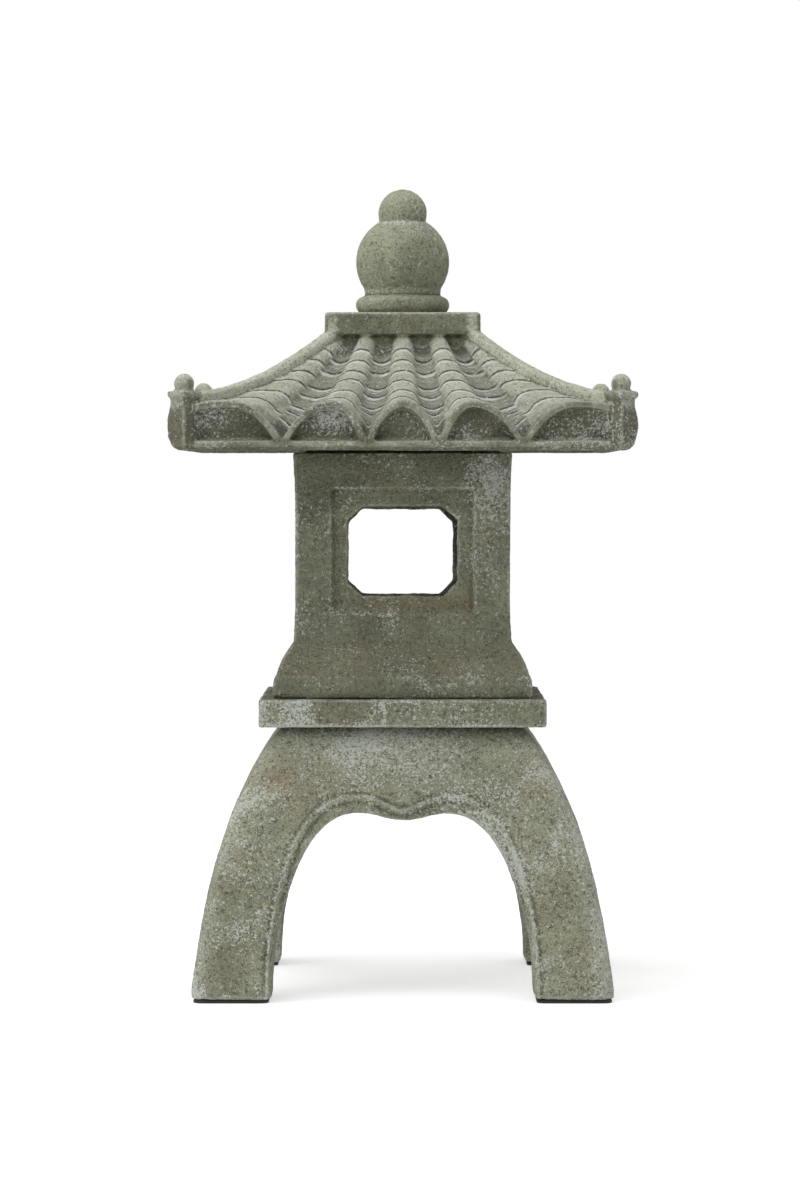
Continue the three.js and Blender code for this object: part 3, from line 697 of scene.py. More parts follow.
def rib_shape(q, share):
    """The height of a rib's section, from 1 at the crest to 0 at its feet: a round rib beside a
    hollow channel on the slope, and a plain arch at the eave."""
    rib = RIB_REST + (1 - RIB_REST) * np.clip(1 - (q / RIB_EDGE) ** 2.2, 0, 1) ** 0.55
    pan = RIB_REST * np.clip((1 - q) / (1 - RIB_EDGE), 0, 1) ** 1.7
    slope = np.where(q < RIB_EDGE, rib, pan)
    eave = np.clip(1 - q**2, 0, 1) ** (RIB_SHARP_EAVE / 2)
    turn = np.clip((share - 0.6) / 0.4, 0, 1)
    return slope + (eave - slope) * turn * turn * (3 - 2 * turn)


def across(u, distance):
    """How far a point is from the crest of its rib to the bottom of its channel, from 0 to 1."""
    share = slope_share(distance)[:, None]
    crests = RIBS_CAP + (RIBS_EAVE - RIBS_CAP) * share
    valleys = VALLEYS_CAP + (VALLEYS_EAVE - VALLEYS_CAP) * share
    found = np.ones(len(u))
    for k in range(5):
        left = (crests[:, k] - u) / (crests[:, k] - valleys[:, k])
        right = (u - crests[:, k]) / (valleys[:, k + 1] - crests[:, k])
        inside = (u >= valleys[:, k]) & (u <= valleys[:, k + 1])
        found = np.where(inside, np.maximum(left, right), found)
    return found


def channel_share(q, share):
    """0 on a rib and 1 in a channel."""
    edge = RIB_EDGE + 0.3 * np.clip((share - 0.6) / 0.4, 0, 1)
    return np.clip((q - edge) / 0.06 + 0.5, 0, 1)


def tile_height(u, distance):
    """The height of the tiled slope at a place on one side, with each row lapped on the next."""
    q = across(u, distance)
    share = np.clip(slope_share(distance), 0, 1)
    sag = CHANNEL_SAG * np.sin(math.pi * np.clip(share + 0.15, 0, 1)) ** 0.8
    low, high = channel_level(distance) - 0.6 * MM - sag, crest_level(distance)
    gully = channel_share(q, share)
    lap_rib = COURSE_STEP * (lap(distance, RIB_COURSES) - 0.6)
    fade = np.clip(1.3 - share, 0.3, 1)
    lap_channel = 1.2 * COURSE_STEP * (lap(distance, CHANNEL_COURSES) - 0.5) * fade
    places = np.stack([u, distance, np.zeros(len(u))], axis=1)
    uneven = 0.5 * MM * noise(places, 14 * MM, 91)
    section = low + (high - low) * rib_shape(q, share)
    return section + (1 - gully) * lap_rib + gully * lap_channel + uneven


def make_tiles(spacing=1.3 * MM):
    """The four tiled slopes as one solid, with upright faces along the eaves."""
    half_steps = round(EAVE_HALF / spacing)
    axis = np.linspace(-EAVE_HALF, EAVE_HALF, 2 * half_steps + 1)
    x, y = (grid.ravel() for grid in np.meshgrid(axis, axis, indexing="ij"))
    distance = np.maximum(np.abs(x), np.abs(y))
    u = np.where(np.abs(x) > np.abs(y), y * np.sign(x), -x * np.sign(y))
    tiles_at = tile_height(u, np.maximum(distance, NECK_HALF))
    height = np.where(distance < NECK_HALF, cap_level, tiles_at)
    top = np.stack([x, y, height], axis=1)
    count = len(axis)
    base = top.copy()
    base[:, 2] = ROOF_LEVEL + 3 * MM
    number = np.arange(count * count).reshape(count, count)
    quads = [number[:-1, :-1], number[1:, :-1], number[1:, 1:], number[:-1, 1:]]
    quads = np.stack(quads, axis=-1).reshape(-1, 4)
    rim = np.concatenate([number[:-1, 0], number[-1, :-1], number[:0:-1, -1], number[0, :0:-1]])
    following = np.roll(rim, -1)
    shift = count * count
    sides = np.stack([rim, rim + shift, following + shift, following], axis=1)
    faces = np.concatenate([quads, quads[:, ::-1] + shift, sides])
    tiles = new_object("roof_stone", np.vstack([top, base]), [tuple(f) for f in faces.tolist()])
    turn_outward(tiles)
    return tiles


def rim_ring(k, distance, band, lowest):
    """The outline of the set-back face under the end of rib k."""
    crest, left, right = RIBS_EAVE[k], VALLEYS_EAVE[k], VALLEYS_EAVE[k + 1]
    turn = np.linspace(0, math.pi, 60)
    reach = np.cos(turn)
    span = np.where(reach > 0, crest - left, right - crest) - band
    u = crest - reach * span
    rise = rib_eave_level - channel_eave_level - band
    z = channel_eave_level + rise * np.sin(turn) ** RIB_SHARP_EAVE
    return np.column_stack([u, np.full(60, -distance), np.maximum(z, lowest)])


def rim_cutter(k):
    stages = [
        (EAVE_HALF + 6 * MM, RIM_BAND, channel_eave_level),
        (EAVE_HALF - 2 * MM, RIM_BAND + 0.3 * MM, channel_eave_level),
        (EAVE_HALF - RIM_RECESS, RIM_BAND + 2.5 * MM, channel_eave_level + 2 * MM),
    ]
    rings = []
    for distance, band, lowest in stages:
        ring = rim_ring(k, distance, band, lowest)
        limit = EAVE_HALF - EAVE_CUT + 2 * MM
        ring[:, 0] = np.clip(ring[:, 0], -limit, limit)
        ring[0, 2] = ring[-1, 2] = lowest - 0.4 * MM
        rings.append(ring)
    return loft(f"rim_{k}", rings)


def make_ridge():
    """One hip ridge: a broad bar down the diagonal with rounded shoulders, run into its block."""
    rings = []
    for distance in np.linspace(NECK_HALF - 3 * MM, BLOCK_CENTRE, 40):
        top = crest_level(max(distance, NECK_HALF)) + RIDGE_STAND
        bottom = channel_level(distance) - 6 * MM
        side = RIDGE_WIDTH / 2
        section = [
            (-side, bottom), (-side, top - 3 * MM),
            (-side + 1.2 * MM, top - 1.1 * MM), (-side + 3 * MM, top),
            (side - 3 * MM, top), (side - 1.2 * MM, top - 1.1 * MM),
            (side, top - 3 * MM), (side, bottom),
        ]
        root = math.sqrt(2)
        rings.append([(distance + w / root, distance - w / root, z) for w, z in section])
    return loft("ridge", rings)


def make_corner_block():
    """The scrolled block that ends a ridge, facing out along the diagonal."""
    top = ROOF_LEVEL + BLOCK_HEIGHT
    profile = [
        (BLOCK_HALF - 6 * MM, 0), (BLOCK_HALF - 4 * MM, 1.4 * MM), (BLOCK_HALF - 2.2 * MM, 4 * MM),
        (BLOCK_HALF - 0.7 * MM, 9 * MM), (BLOCK_HALF, 16 * MM), (BLOCK_HALF - 0.1 * MM, 21 * MM),
        (BLOCK_HALF - 0.7 * MM, 27 * MM), (BLOCK_HALF - 1.6 * MM, 32 * MM), (BLOCK_HALF - 1.9 * MM, 35.5 * MM),
        (BLOCK_HALF - 1.6 * MM, 38 * MM), (BLOCK_HALF - 0.2 * MM, 39 * MM), (BLOCK_HALF, 39.8 * MM),
        (BLOCK_HALF, 42.8 * MM), (BLOCK_HALF - 0.8 * MM, BLOCK_HEIGHT),
    ]
    block = loft("block", [rounded_square(w, 1.2 * MM, ROOF_LEVEL + z, 4) for w, z in profile])
    ball = bpy.data.objects.new("ball", sphere_mesh(BALL_RADIUS, top + BALL_RADIUS - BALL_SINK))
    bpy.context.scene.collection.objects.link(ball)
    combine(block, [ball], "UNION")
    moved = Matrix.Translation((BLOCK_CENTRE, BLOCK_CENTRE, 0))
    block.data.transform(moved @ Matrix.Rotation(math.pi / 4, 4, "Z"))
    return block


def sphere_mesh(radius, level):
    shape = bmesh.new()
    bmesh.ops.create_icosphere(shape, subdivisions=4, radius=radius)
    bmesh.ops.translate(shape, verts=shape.verts, vec=(0, 0, level))
    mesh = bpy.data.meshes.new("ball")
    shape.to_mesh(mesh)
    shape.free()
    return mesh


def make_corner_trim():
    """What lies outside the cut corner of the eave, to take away."""
    near, far = EAVE_HALF - EAVE_CUT - 20 * MM, EAVE_HALF + 20 * MM
    corners = [(far, near), (far + 20 * MM, far + 20 * MM), (near, far)]
    rings = [[(x, y, z) for x, y in corners] for z in (ROOF_LEVEL - 20 * MM, ROOF_TOP + 20 * MM)]
    return loft("corner", rings)


def make_roof():
    roof = make_tiles()
    corner = make_corner_trim()
    rims = [rim_cutter(k) for k in range(5)]
    cutters = [corner, *turned_copies(corner)]
    for rim in rims:
        cutters += [rim, *turned_copies(rim)]
    combine(roof, cutters, "DIFFERENCE")
    plinth = make_plinth()
    cap = rounded_box("cap", CAP_HALF, cap_level, ROOF_TOP, 1.8 * MM, 3 * MM)
    lug = rounded_box("lug", CHAMBER_HALF - REGISTER_GAP, ROOF_LOW.z, ROOF_LEVEL + 6 * MM)
    ridge = make_ridge()
    block = make_corner_block()
    hips = [ridge, *turned_copies(ridge), block, *turned_copies(block)]
    combine(roof, [plinth, cap, lug, *hips], "UNION")
    under = rounded_box("under", EAVE_HALF - 14 * MM, ROOF_LOW.z - 9 * MM, BOX_HIGH.z + 0.3 * MM)
    lug_half = CHAMBER_HALF - REGISTER_GAP
    keep_lug = rounded_box("keep_lug", lug_half, ROOF_LOW.z - 20 * MM, ROOF_LEVEL + 9 * MM)
    combine(under, [keep_lug], "DIFFERENCE")
    dome = loft(
        "dome",
        [
            rounded_square(DOME_FOOT_HALF, 4 * MM, ROOF_LOW.z - MM),
            rounded_square(DOME_HEAD_HALF, 4 * MM, BOX_HIGH.z + DOME_RISE),
        ],
    )
    combine(roof, [under, dome], "DIFFERENCE")
    remesh(roof, 1.15 * MM)
    weather(roof, "roof", seed=41, soften=1, wave=0.35, chip=1.3, pits=0.5, grain=0.14)
    paint_roof(roof.data)
    thin_out(roof, TRIANGLES)
    return roof


def make_plinth():
    """The fascia: a low eight-sided block with its lower edge rounded off."""
    rings = []
    for inset, z in ((7, 0), (4, 0.8), (2, 2.3), (0.8, 4.2), (0.2, 6.2), (0.8, 7)):
        half, cut = EAVE_HALF - inset * MM, EAVE_CUT - 0.6 * inset * MM
        corners = [(half, -half + cut), (half, half - cut), (half - cut, half), (-half + cut, half)]
        corners += [(-x, -y) for x, y in corners]
        rings.append([(x, y, ROOF_LEVEL + z * MM) for x, y in corners])
    return loft("plinth", rings)


def paint_roof(mesh):
    """Marks where the tile rows end (rib_step, gully_step), the channels (gully), the tiled
    slopes (tiled), where painted shade (dark) and painted highlight (pale) go, and where the stone is limed or
    tan."""
    points, normals = positions(mesh), normals_of(mesh)
    _, u, facing = side_places(points, normals)
    reach = np.maximum(np.abs(points[:, 0]), np.abs(points[:, 1]))
    distance = np.clip(reach, NECK_HALF, EAVE_HALF)
    share = slope_share(distance)
    q = across(u, distance)
    level = tile_height(u, distance)
    gully = channel_share(q, share)
    from_hip = np.abs(np.abs(points[:, 0]) - np.abs(points[:, 1]))
    off_ridge = from_hip > RIDGE_WIDTH / math.sqrt(2) + MM
    on_slope = (reach < EAVE_HALF - 2 * MM) & (reach > CAP_HALF - 3 * MM) & off_ridge
    tiled = (np.abs(points[:, 2] - level) < 3 * MM) & on_slope
    store(mesh, "rib_step", past_course(distance, RIB_COURSES))
    store(mesh, "gully_step", past_course(distance, CHANNEL_COURSES))
    store(mesh, "gully", gully)
    store(mesh, "tiled", tiled)
    up = points[:, 2]
    set_back = (reach > EAVE_HALF - RIM_RECESS - 3 * MM) & (reach < EAVE_HALF - 1.6 * MM)
    under_tile = (up < rib_eave_level - 3 * MM) & (up > channel_eave_level - MM)
    recess = set_back & under_tile & (facing > 0.2)
    rim = (reach > EAVE_HALF - 2.5 * MM) & (up > channel_eave_level - MM) & (facing > 0.4)
    pocket = np.clip(1 - (reach - CAP_HALF) / (9 * MM), 0, 1) * gully * tiled
    beneath = up < BOX_HIGH.z + 0.5 * MM
    # Painted shade in the set-back faces under the rib ends, on the rim faces, in the pockets under the cap, in
    # the channels and under the roof
    dark = 0.38 * recess + 0.25 * rim + 0.7 * pocket + 0.34 * gully * tiled + 0.3 * beneath
    store(mesh, "dark", dark)
    # Painted highlight on the hip ridges and the tops of the ribs
    ridge = (~off_ridge) & (reach > CAP_HALF) & (up > level + 1 * MM)
    store(mesh, "pale", 1.0 * ridge + 0.6 * (1 - gully) * tiled)
    patchy = patches(points, 26 * MM, 52, 0.55)
    valley = gully * tiled * (0.35 + 0.65 * np.clip((reach - 150 * MM) / (20 * MM), 0, 1))
    fascia = (up < channel_eave_level + MM) & (facing > 0.3)
    ridge_foot = tiled & (from_hip < RIDGE_WIDTH / math.sqrt(2) + 6 * MM)
    lime = 1.0 * recess + 0.4 * valley + 0.35 * fascia + 0.6 * ridge_foot + 0.5 * pocket
    store(mesh, "lime", lime * patchy)
    block = np.abs(points[:, 0]) + np.abs(points[:, 1]) > 2 * EAVE_HALF - EAVE_CUT + 2 * MM
    store(mesh, "tan", 0.35 * block + 0.25 * fascia * patchy)


# ---- Finial ----

UPPER_BALL = 18.7 * MM
LOWER_BALL = 35.8 * MM
UPPER_CREASE = 17.4 * MM
LOWER_CREASE = 29 * MM
RING_FOOT = 33.5 * MM
RING_HEIGHT = 15 * MM
FINIAL_CENTRE = 40.1 * MM


def finial_profile():
    """Radius and height of the finial from its foot to its top."""
    low_angle = -math.acos(LOWER_CREASE / LOWER_BALL)
    high_angle = math.acos(UPPER_CREASE / LOWER_BALL) * 0.97
    turn = np.linspace(low_angle, high_angle, 60)
    lower = np.stack([LOWER_BALL * np.cos(turn), FINIAL_CENTRE + LOWER_BALL * np.sin(turn)], axis=1)
    start = -math.acos(UPPER_CREASE / UPPER_BALL)
    centre = lower[-1, 1] - UPPER_BALL * math.sin(start)
    turn = np.linspace(start, math.pi / 2 - 0.02, 50)[1:]
    upper = np.stack([UPPER_BALL * np.cos(turn), centre + UPPER_BALL * np.sin(turn)], axis=1)
    ring_radius = FINIAL_HIGH.x
    bulge = [(ring_radius + 1.6 * MM, 6 * MM), (ring_radius, 13 * MM)]
    ring = bezier([(RING_FOOT, 1.5 * MM), *bulge, (LOWER_CREASE, RING_HEIGHT - MM)], 20)
    foot = [(RING_FOOT - 6 * MM, 0), (RING_FOOT - MM, 0)]
    return np.vstack([foot, ring, lower[1:], upper])


def make_finial():
    sides = 128
    turn = np.arange(sides) * 2 * math.pi / sides
    rings = []
    for radius, height in finial_profile():
        z = np.full(sides, FINIAL_LOW.z + height)
        rings.append(np.stack([radius * np.cos(turn), radius * np.sin(turn), z], axis=1))
    finial = loft("finial_stone", rings)
    hole = pin_shape("hole", 6.3 * MM, FINIAL_LOW.z - 2 * MM, PIN_HIGH.z + 0.3 * MM)
    combine(finial, [hole], "DIFFERENCE")
    remesh(finial, 0.75 * MM)
    weather(finial, "finial", seed=53, soften=2, wave=0.35, chip=0.7, pits=0.7, grain=0.12)
    mesh = finial.data
    points = positions(mesh)
    height = (points[:, 2] - FINIAL_LOW.z) / MM
    patchy = patches(points, 18 * MM, 58, 0.75)
    upper = hump(height, 70.4, 1.6)
    lower = hump(height, 17.4, 2.0)
    store(mesh, "lime", (1.3 * upper + 1.3 * lower + 0.5 * hump(height, 4, 3)) * patchy)
    store(mesh, "tan", 0.25 * patches(points, 20 * MM, 60, -0.1))
    # Painted shade at the foot, where the finial sits on the roof
    store(mesh, "dark", 0.3 * hump(height, 1.5, 1.6))
    thin_out(finial, TRIANGLES)
    return finial


def pin_shape(name, radius, bottom, top):
    turn = np.arange(32) * 2 * math.pi / 32
    rings = []
    low = [(radius * 0.86, bottom), (radius, bottom + 0.14 * radius)]
    high = [(radius, top - 0.14 * radius), (radius * 0.86, top)]
    for r, z in low + high:
        rings.append(np.stack([r * np.cos(turn), r * np.sin(turn), np.full(32, z)], axis=1))
    return loft(name, rings)


# ---- Materials ----


class Nodes:
    """A material's node tree, with short calls for the nodes that stone needs."""

    def __init__(self, name):
        self.material = bpy.data.materials.new(name)
        self.material.use_nodes = True
        self.tree = self.material.node_tree
        self.shader = self.tree.nodes["Principled BSDF"]
        self.place = self.tree.nodes.new("ShaderNodeTexCoord").outputs["Object"]

    def link(self, source, socket):
        self.tree.links.new(source, socket)

    def math(self, operation, a, b=0.0, c=0.0):
        node = self.tree.nodes.new("ShaderNodeMath")
        node.operation = operation
        for socket, value in zip(node.inputs, (a, b, c)):
            if isinstance(value, (int, float)):
                socket.default_value = value
            else:
                self.link(value, socket)
        return node.outputs[0]

    def times(self, a, b):
        return self.math("MULTIPLY", a, b)

    def plus(self, a, b):
        return self.math("ADD", a, b)

    def noise(self, scale, detail=3.0, roughness=0.6, distortion=0.0, stretch=None, offset=0.0):
        node = self.tree.nodes.new("ShaderNodeTexNoise")
        node.inputs["Scale"].default_value = scale
        node.inputs["Detail"].default_value = detail
        node.inputs["Roughness"].default_value = roughness
        node.inputs["Distortion"].default_value = distortion
        shift = self.tree.nodes.new("ShaderNodeMapping")
        shift.inputs["Location"].default_value = (offset, offset * 1.7, offset * 0.6)
        shift.inputs["Scale"].default_value = stretch or (1, 1, 1)
        self.link(self.place, shift.inputs["Vector"])
        self.link(shift.outputs[0], node.inputs["Vector"])
        return node.outputs["Fac"]

    def cells(self, scale):
        node = self.tree.nodes.new("ShaderNodeTexVoronoi")
        node.inputs["Scale"].default_value = scale
        self.link(self.place, node.inputs["Vector"])
        return node.outputs["Distance"]

    def steps(self, value, low, high):
        """0 below low, 1 above high, smooth between; low may be the larger one."""
        node = self.tree.nodes.new("ShaderNodeMapRange")
        node.interpolation_type = "SMOOTHSTEP"
        node.inputs["From Min"].default_value = low
        node.inputs["From Max"].default_value = high
        self.link(value, node.inputs["Value"])
        return node.outputs["Result"]

    def mix(self, share, first, second):
        node = self.tree.nodes.new("ShaderNodeMix")
        node.data_type = "RGBA"
        sockets = (node.inputs[0], node.inputs[6], node.inputs[7])
        for value, socket in zip((share, first, second), sockets):
            if isinstance(value, (int, float)):
                socket.default_value = value
            elif isinstance(value, tuple):
                socket.default_value = (*value, 1)
            else:
                self.link(value, socket)
        return node.outputs[2]

    def attribute(self, name):
        node = self.tree.nodes.new("ShaderNodeAttribute")
        node.attribute_name = name
        return node.outputs["Fac"]

    def axis(self, source, index):
        node = self.tree.nodes.new("ShaderNodeSeparateXYZ")
        self.link(source, node.inputs[0])
        return node.outputs[index]

    def facing_up(self):
        node = self.tree.nodes.new("ShaderNodeNewGeometry")
        return self.axis(node.outputs["Normal"], 2)

    def bump(self, height, distance, strength=1.0):
        node = self.tree.nodes.new("ShaderNodeBump")
        node.inputs["Distance"].default_value = distance
        node.inputs["Strength"].default_value = strength
        self.link(height, node.inputs["Height"])
        return node.outputs[0]


def shade(colour, factor):
    return tuple(channel * factor for channel in colour)


STONE = (0.225, 0.232, 0.160)
PALE = (0.55, 0.57, 0.46)
LIME = (0.76, 0.79, 0.73)
TAN = (0.27, 0.215, 0.13)
DIRT = (0.115, 0.088, 0.048)
# The near-black of painted shade, for creases, pores, low grains, tile ends and the dark attribute
PAINTED_SHADE = (0.035, 0.036, 0.028)


def stone_material(name, base, lime, dirt, edge, top, grit, seed, tiles=False):
    """Cast stone: sandy and mottled, with painted highlight on edges and upward faces, limed on the high grains
    in patches, brown with dirt in the creases, and painted shade in the deepest creases, pores and low grains.
    The mesh's attributes lime, pale, tan and dark add to each of these where they are set: pale adds painted
    highlight, and dark adds painted shade."""
    n = Nodes(name)
    blotch = n.noise(13, 4, 0.6, 0.6, offset=seed)
    cloud = n.noise(48, 4, 0.65, 0.4, offset=seed + 3)
    sand = n.noise(820, 3, 0.75, offset=seed + 5)
    coarse = n.noise(330, 3, 0.7, 0.3, offset=seed + 7)
    fleck = n.noise(500, 3, 0.65, 0.9, offset=seed + 17)
    tan, dark, limed = n.attribute("tan"), n.attribute("dark"), n.attribute("lime")
    crease, convex_edge, pale = n.attribute("crease"), n.attribute("edge"), n.attribute("pale")
    colour = n.mix(n.steps(blotch, 0.34, 0.66), shade(STONE, 0.8 * base), shade(STONE, 1.2 * base))
    colour = n.mix(n.times(n.steps(cloud, 0.45, 0.7), 0.5), colour, shade(STONE, 1.5 * base))
    warm = n.times(n.steps(n.noise(22, 3, 0.6, offset=seed + 11), 0.5, 0.72), 0.3)
    warm = n.plus(warm, n.times(tan, 0.6))
    colour = n.mix(n.math("MINIMUM", warm, 0.85), colour, shade(TAN, base))
    patchy = n.math("MULTIPLY_ADD", n.steps(cloud, 0.64, 0.36), 0.4, 0.6)
    # Painted highlight: upward faces are paler as if lit from above, by the share top, and so are faces with the
    # pale attribute
    upward = n.times(n.steps(n.facing_up(), 0.2, 0.8), top)
    light = n.math("MAXIMUM", upward, n.times(pale, 0.75))
    colour = n.mix(n.times(light, patchy), colour, PALE)
    # More painted highlight where the pale attribute is set
    colour = n.mix(n.times(n.times(pale, patchy), 0.75), colour, shade(PALE, 1.35))
    grains = n.times(n.steps(coarse, 0.6, 0.72), 0.35 + 0.3 * grit)
    colour = n.mix(grains, colour, shade(PALE, 0.95))
    # Painted shade in the low grains: where the bump's sand and coarse grain are low, the colour goes towards
    # near-black
    pit = n.times(n.steps(sand, 0.52, 0.38), 0.4 + 0.4 * grit)
    colour = n.mix(pit, colour, n.mix(0.62, colour, PAINTED_SHADE))
    hollow = n.times(n.steps(coarse, 0.47, 0.36), 0.4 + 0.5 * grit)
    colour = n.mix(hollow, colour, n.mix(0.65, colour, PAINTED_SHADE))
    # Painted shade where the mesh's dark attribute is set
    colour = n.mix(n.math("MINIMUM", dark, 0.8), colour, shade(PAINTED_SHADE, 1.3))
    grime = n.math("MULTIPLY_ADD", n.steps(cloud, 0.3, 0.6), 0.5, 0.5)
    grime = n.times(n.steps(crease, 0.2, 0.8), grime)
    colour = n.mix(n.times(grime, dirt), colour, DIRT)
    # Painted shade in the deepest creases
    colour = n.mix(n.times(n.steps(crease, 0.7, 1.0), 0.6), colour, PAINTED_SHADE)
    # Painted highlight on convex edges, by the share edge
    edge_highlight = n.math("MULTIPLY_ADD", n.steps(cloud, 0.35, 0.6), 0.8, 0.2)
    edge_highlight = n.times(n.steps(convex_edge, 0.3, 0.85), edge_highlight)
    colour = n.mix(n.times(edge_highlight, edge), colour, shade(PALE, 1.1))
    if tiles:
        colour = tile_rows(n, colour)
    zone = n.steps(n.noise(19, 3, 0.62, 0.5, offset=seed + 23), 0.4, 0.7)
    reach = n.math("MULTIPLY_ADD", zone, 0.05 + 0.09 * lime, 0.03 * grit)
    reach = n.plus(reach, n.times(n.math("MINIMUM", limed, 1.0), 0.12))
    reach = n.plus(reach, n.times(convex_edge, 0.05))
    specks = n.steps(n.plus(fleck, reach), 0.64, 0.72)
    colour = n.mix(n.times(specks, 0.5 + 0.35 * lime), colour, LIME)
    veil = n.times(n.times(limed, n.steps(coarse, 0.42, 0.6)), 0.16)
    colour = n.mix(n.math("MINIMUM", veil, 0.5), colour, shade(PALE, 1.1))
    # Painted shade in the small round pores, which are also sunk in the bump
    holes = n.steps(n.cells(300), 0.17, 0.07)
    colour = n.mix(n.times(holes, 0.85), colour, PAINTED_SHADE)
    n.link(colour, n.shader.inputs["Base Color"])
    n.link(n.math("MULTIPLY_ADD", sand, 0.14, 0.8), n.shader.inputs["Roughness"])
    n.shader.inputs["Specular IOR Level"].default_value = 0.3
    height = n.plus(n.times(sand, 0.4), n.times(fleck, 0.9))
    height = n.plus(height, n.times(coarse, 0.9))
    height = n.math("SUBTRACT", height, n.times(holes, 0.8))
    n.link(n.bump(height, 2.2 * MM, 1.0), n.shader.inputs["Normal"])
    return n.material


def tile_rows(n, colour):
    """A painted shadow line under the end of each tile and a pale one on the tile below it."""
    gully, tiled = n.attribute("gully"), n.attribute("tiled")
    wobble = n.math("MULTIPLY_ADD", n.noise(150, 2, 0.5), 1.2, -0.6)
    patchy = n.math("MULTIPLY_ADD", n.steps(n.noise(60, 3, 0.6, offset=2), 0.35, 0.6), 0.65, 0.35)
    for name, where in (("rib_step", n.math("SUBTRACT", 1.0, gully)), ("gully_step", gully)):
        gap = n.plus(n.attribute(name), wobble)
        where = n.times(where, tiled)
        below = n.times(n.steps(gap, 0.1, 0.7), n.steps(gap, 3.2, 1.4))
        limed = n.times(n.times(below, where), n.times(patchy, 0.85))
        colour = n.mix(limed, colour, LIME)
        # Painted shadow under each tile end
        line = n.times(n.steps(gap, -1.0, -0.5), n.steps(gap, 0.5, 0.1))
        colour = n.mix(n.times(n.times(line, where), 0.85), colour, PAINTED_SHADE)
    return colour


def black_pad_material():
    n = Nodes("black_pad_and_shade")
    grain = n.noise(900, 2, 0.5)
    dust = n.steps(n.noise(90, 3, 0.6), 0.5, 0.75)
    colour = n.mix(grain, (0.010, 0.010, 0.010), (0.022, 0.022, 0.021))
    n.link(n.mix(n.times(dust, 0.25), colour, (0.11, 0.105, 0.09)), n.shader.inputs["Base Color"])
    n.link(n.math("MULTIPLY_ADD", grain, 0.2, 0.62), n.shader.inputs["Roughness"])
    n.link(n.bump(grain, 0.1 * MM, 0.5), n.shader.inputs["Normal"])
    return n.material


def steel_material():
    n = Nodes("steel_bar")
    mill = n.noise(300, 4, 0.6, stretch=(1, 1, 0.15))
    rust = n.steps(n.noise(120, 4, 0.7, 0.5), 0.52, 0.66)
    colour = n.mix(mill, (0.27, 0.26, 0.25), (0.46, 0.45, 0.43))
    n.link(n.mix(rust, colour, (0.20, 0.075, 0.03)), n.shader.inputs["Base Color"])
    n.link(n.math("SUBTRACT", 1.0, rust), n.shader.inputs["Metallic"])
    n.link(n.math("MULTIPLY_ADD", rust, 0.45, 0.35), n.shader.inputs["Roughness"])
    n.link(n.bump(mill, 0.15 * MM, 0.5), n.shader.inputs["Normal"])
    return n.material


# ---- Pieces ----

def place_piece(made, material, body, node):
    made.data.materials.clear()
    made.data.materials.append(material)
    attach(made, body)
    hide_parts(node)


def make_pad(corner):
    """A thin pad with a soft edge, cut from ribbed sheet."""
    node = f"foot_pad_{corner}"
    low, high = (Vector(p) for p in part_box(node))
    middle, half = (low + high) / 2, (high.x - low.x) / 2
    rings = []
    for inset, z in ((0.9, 0), (0.25, 0.25), (0, 0.8), (0, 1.7), (0.3, 2.25), (0.9, 2.5)):
        ring = np.asarray(rounded_square(half - inset * MM, 6 * MM, low.z + z * MM, 6))
        rings.append(ring + (middle.x, middle.y, 0))
    return loft(f"{node}_rubber", rings), node


# In each finish, edge and top set how much painted highlight the edges and upward faces get
# Each casting's node, how it is made, its body, its slot and its finish
CASTINGS = [
    (
        "leg_stand", make_leg_stand, "stand", "stand_stone",
        dict(base=1.62, lime=0.9, dirt=0.4, edge=0.5, top=0.35, grit=0.9, seed=1),
    ),
    (
        "platform_slab", make_platform, "platform", "platform_stone",
        dict(base=1.28, lime=0.9, dirt=0.6, edge=0.5, top=0.3, grit=0.8, seed=4),
    ),
    (
        "fire_box", make_fire_box, "fire_box", "fire_box_stone",
        dict(base=1.13, lime=0.6, dirt=0.7, edge=0.35, top=0.2, grit=0.5, seed=9),
    ),
    (
        "roof", make_roof, "roof", "roof_stone",
        dict(base=1.15, lime=0.6, dirt=0.35, edge=0.45, top=0.9, grit=0.5, seed=15, tiles=True),
    ),
    (
        "finial", make_finial, "finial", "finial_stone",
        dict(base=1.62, lime=0.5, dirt=0.2, edge=0.45, top=0.4, grit=0.6, seed=21),
    ),
]
CORNERS = ("front_left", "front_right", "rear_left", "rear_right")


def build():
    for node, make, body, slot, finish in CASTINGS:
        place_piece(make(), stone_material(f"{node}_weathered", **finish), body, node)
    # The black pads under the feet stand in part for the shade under the feet
    pad_black = black_pad_material()
    for corner in CORNERS:
        pad, node = make_pad(corner)
        place_piece(pad, pad_black, "stand", node)
    steel = steel_material()
    for node in ("finial_dowel", *(f"leg_rod_{corner}" for corner in CORNERS)):
        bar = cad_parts[node].data
        bar.materials.clear()
        bar.materials.append(steel)


# ---- Surroundings ----

FLOOR_GLOW = 0.5  # added to the floor for the rays that see it as a backdrop
WORLD_LIGHT = 0.55  # the world's strength as a light; it is 1 as a backdrop
FLOOR_REACH = 6
LAMP_TARGET = (0, 0, 0.3)


def make_camera():
    data = bpy.data.cameras.new("camera")
    data.lens = CAMERA_LENS
    data.sensor_width = 36
    camera = bpy.data.objects.new("camera", data)
    camera.location = (CAMERA_ASIDE, -CAMERA_DISTANCE, CAMERA_HEIGHT)
    camera.rotation_euler = (math.pi / 2 - CAMERA_PITCH, 0, 0)
    bpy.context.scene.collection.objects.link(camera)
    bpy.context.scene.camera = camera


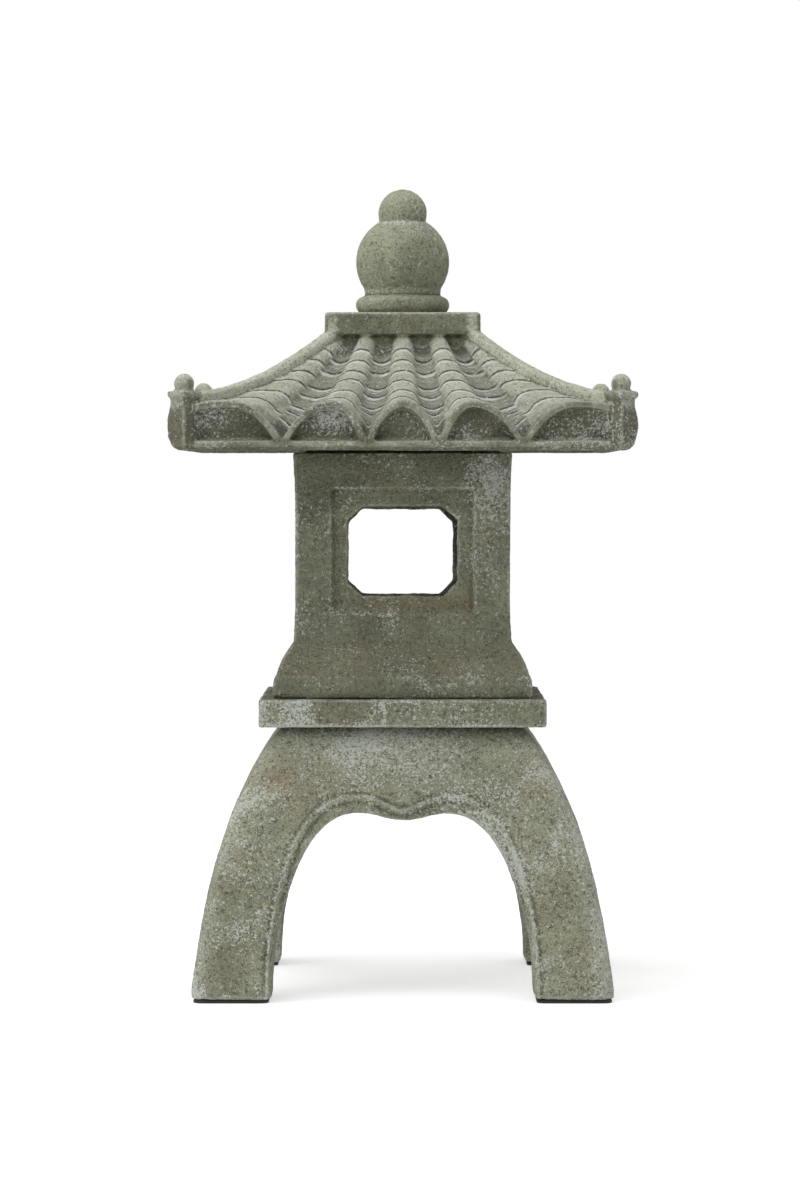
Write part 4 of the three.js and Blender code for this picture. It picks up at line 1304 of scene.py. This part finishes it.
def seen_directly(tree):
    """1 for the rays that see the backdrop: camera, glossy and transmission rays."""
    path = tree.nodes.new("ShaderNodeLightPath")
    seen = path.outputs["Is Camera Ray"]
    for kind in ("Is Glossy Ray", "Is Transmission Ray"):
        larger = tree.nodes.new("ShaderNodeMath")
        larger.operation = "MAXIMUM"
        tree.links.new(seen, larger.inputs[0])
        tree.links.new(path.outputs[kind], larger.inputs[1])
        seen = larger.outputs[0]
    return seen


def make_floor():
    """A pale floor that is white to the camera away from the lantern's shadow."""
    corners = [(x * FLOOR_REACH, y * FLOOR_REACH, 0) for x, y in ((-1, -1), (1, -1), (1, 1), (-1, 1))]
    floor = new_object("floor", corners, [(0, 1, 2, 3)])
    n = Nodes("floor_white")
    n.shader.inputs["Base Color"].default_value = (0.84, 0.85, 0.84, 1)
    n.shader.inputs["Roughness"].default_value = 0.9
    n.shader.inputs["Emission Color"].default_value = (1, 1, 1, 1)
    n.link(n.times(seen_directly(n.tree), FLOOR_GLOW), n.shader.inputs["Emission Strength"])
    floor.data.materials.append(n.material)


def make_light(name, location, size, power):
    data = bpy.data.lights.new(name, "AREA")
    data.size = size
    data.energy = power
    light = bpy.data.objects.new(name, data)
    light.location = location
    aim = Vector(LAMP_TARGET) - Vector(location)
    light.rotation_euler = aim.to_track_quat("-Z", "Y").to_euler()
    bpy.context.scene.collection.objects.link(light)


def make_world():
    world = bpy.data.worlds.new("studio")
    world.use_nodes = True
    tree = world.node_tree
    background = tree.nodes["Background"]
    strength = tree.nodes.new("ShaderNodeMapRange")
    strength.inputs["To Min"].default_value = WORLD_LIGHT
    strength.inputs["To Max"].default_value = 1.0
    tree.links.new(seen_directly(tree), strength.inputs["Value"])
    tree.links.new(strength.outputs[0], background.inputs["Strength"])
    background.inputs["Color"].default_value = (1, 1, 1, 1)
    bpy.context.scene.world = world


make_camera()
build()
make_floor()
make_light("overhead", (-0.5, -0.4, 2.2), 1.6, 22)
make_light("front_left", (-2.4, -1.9, 1.2), 1.2, 15)
make_world()
bpy.context.scene.view_settings.view_transform = "Standard"
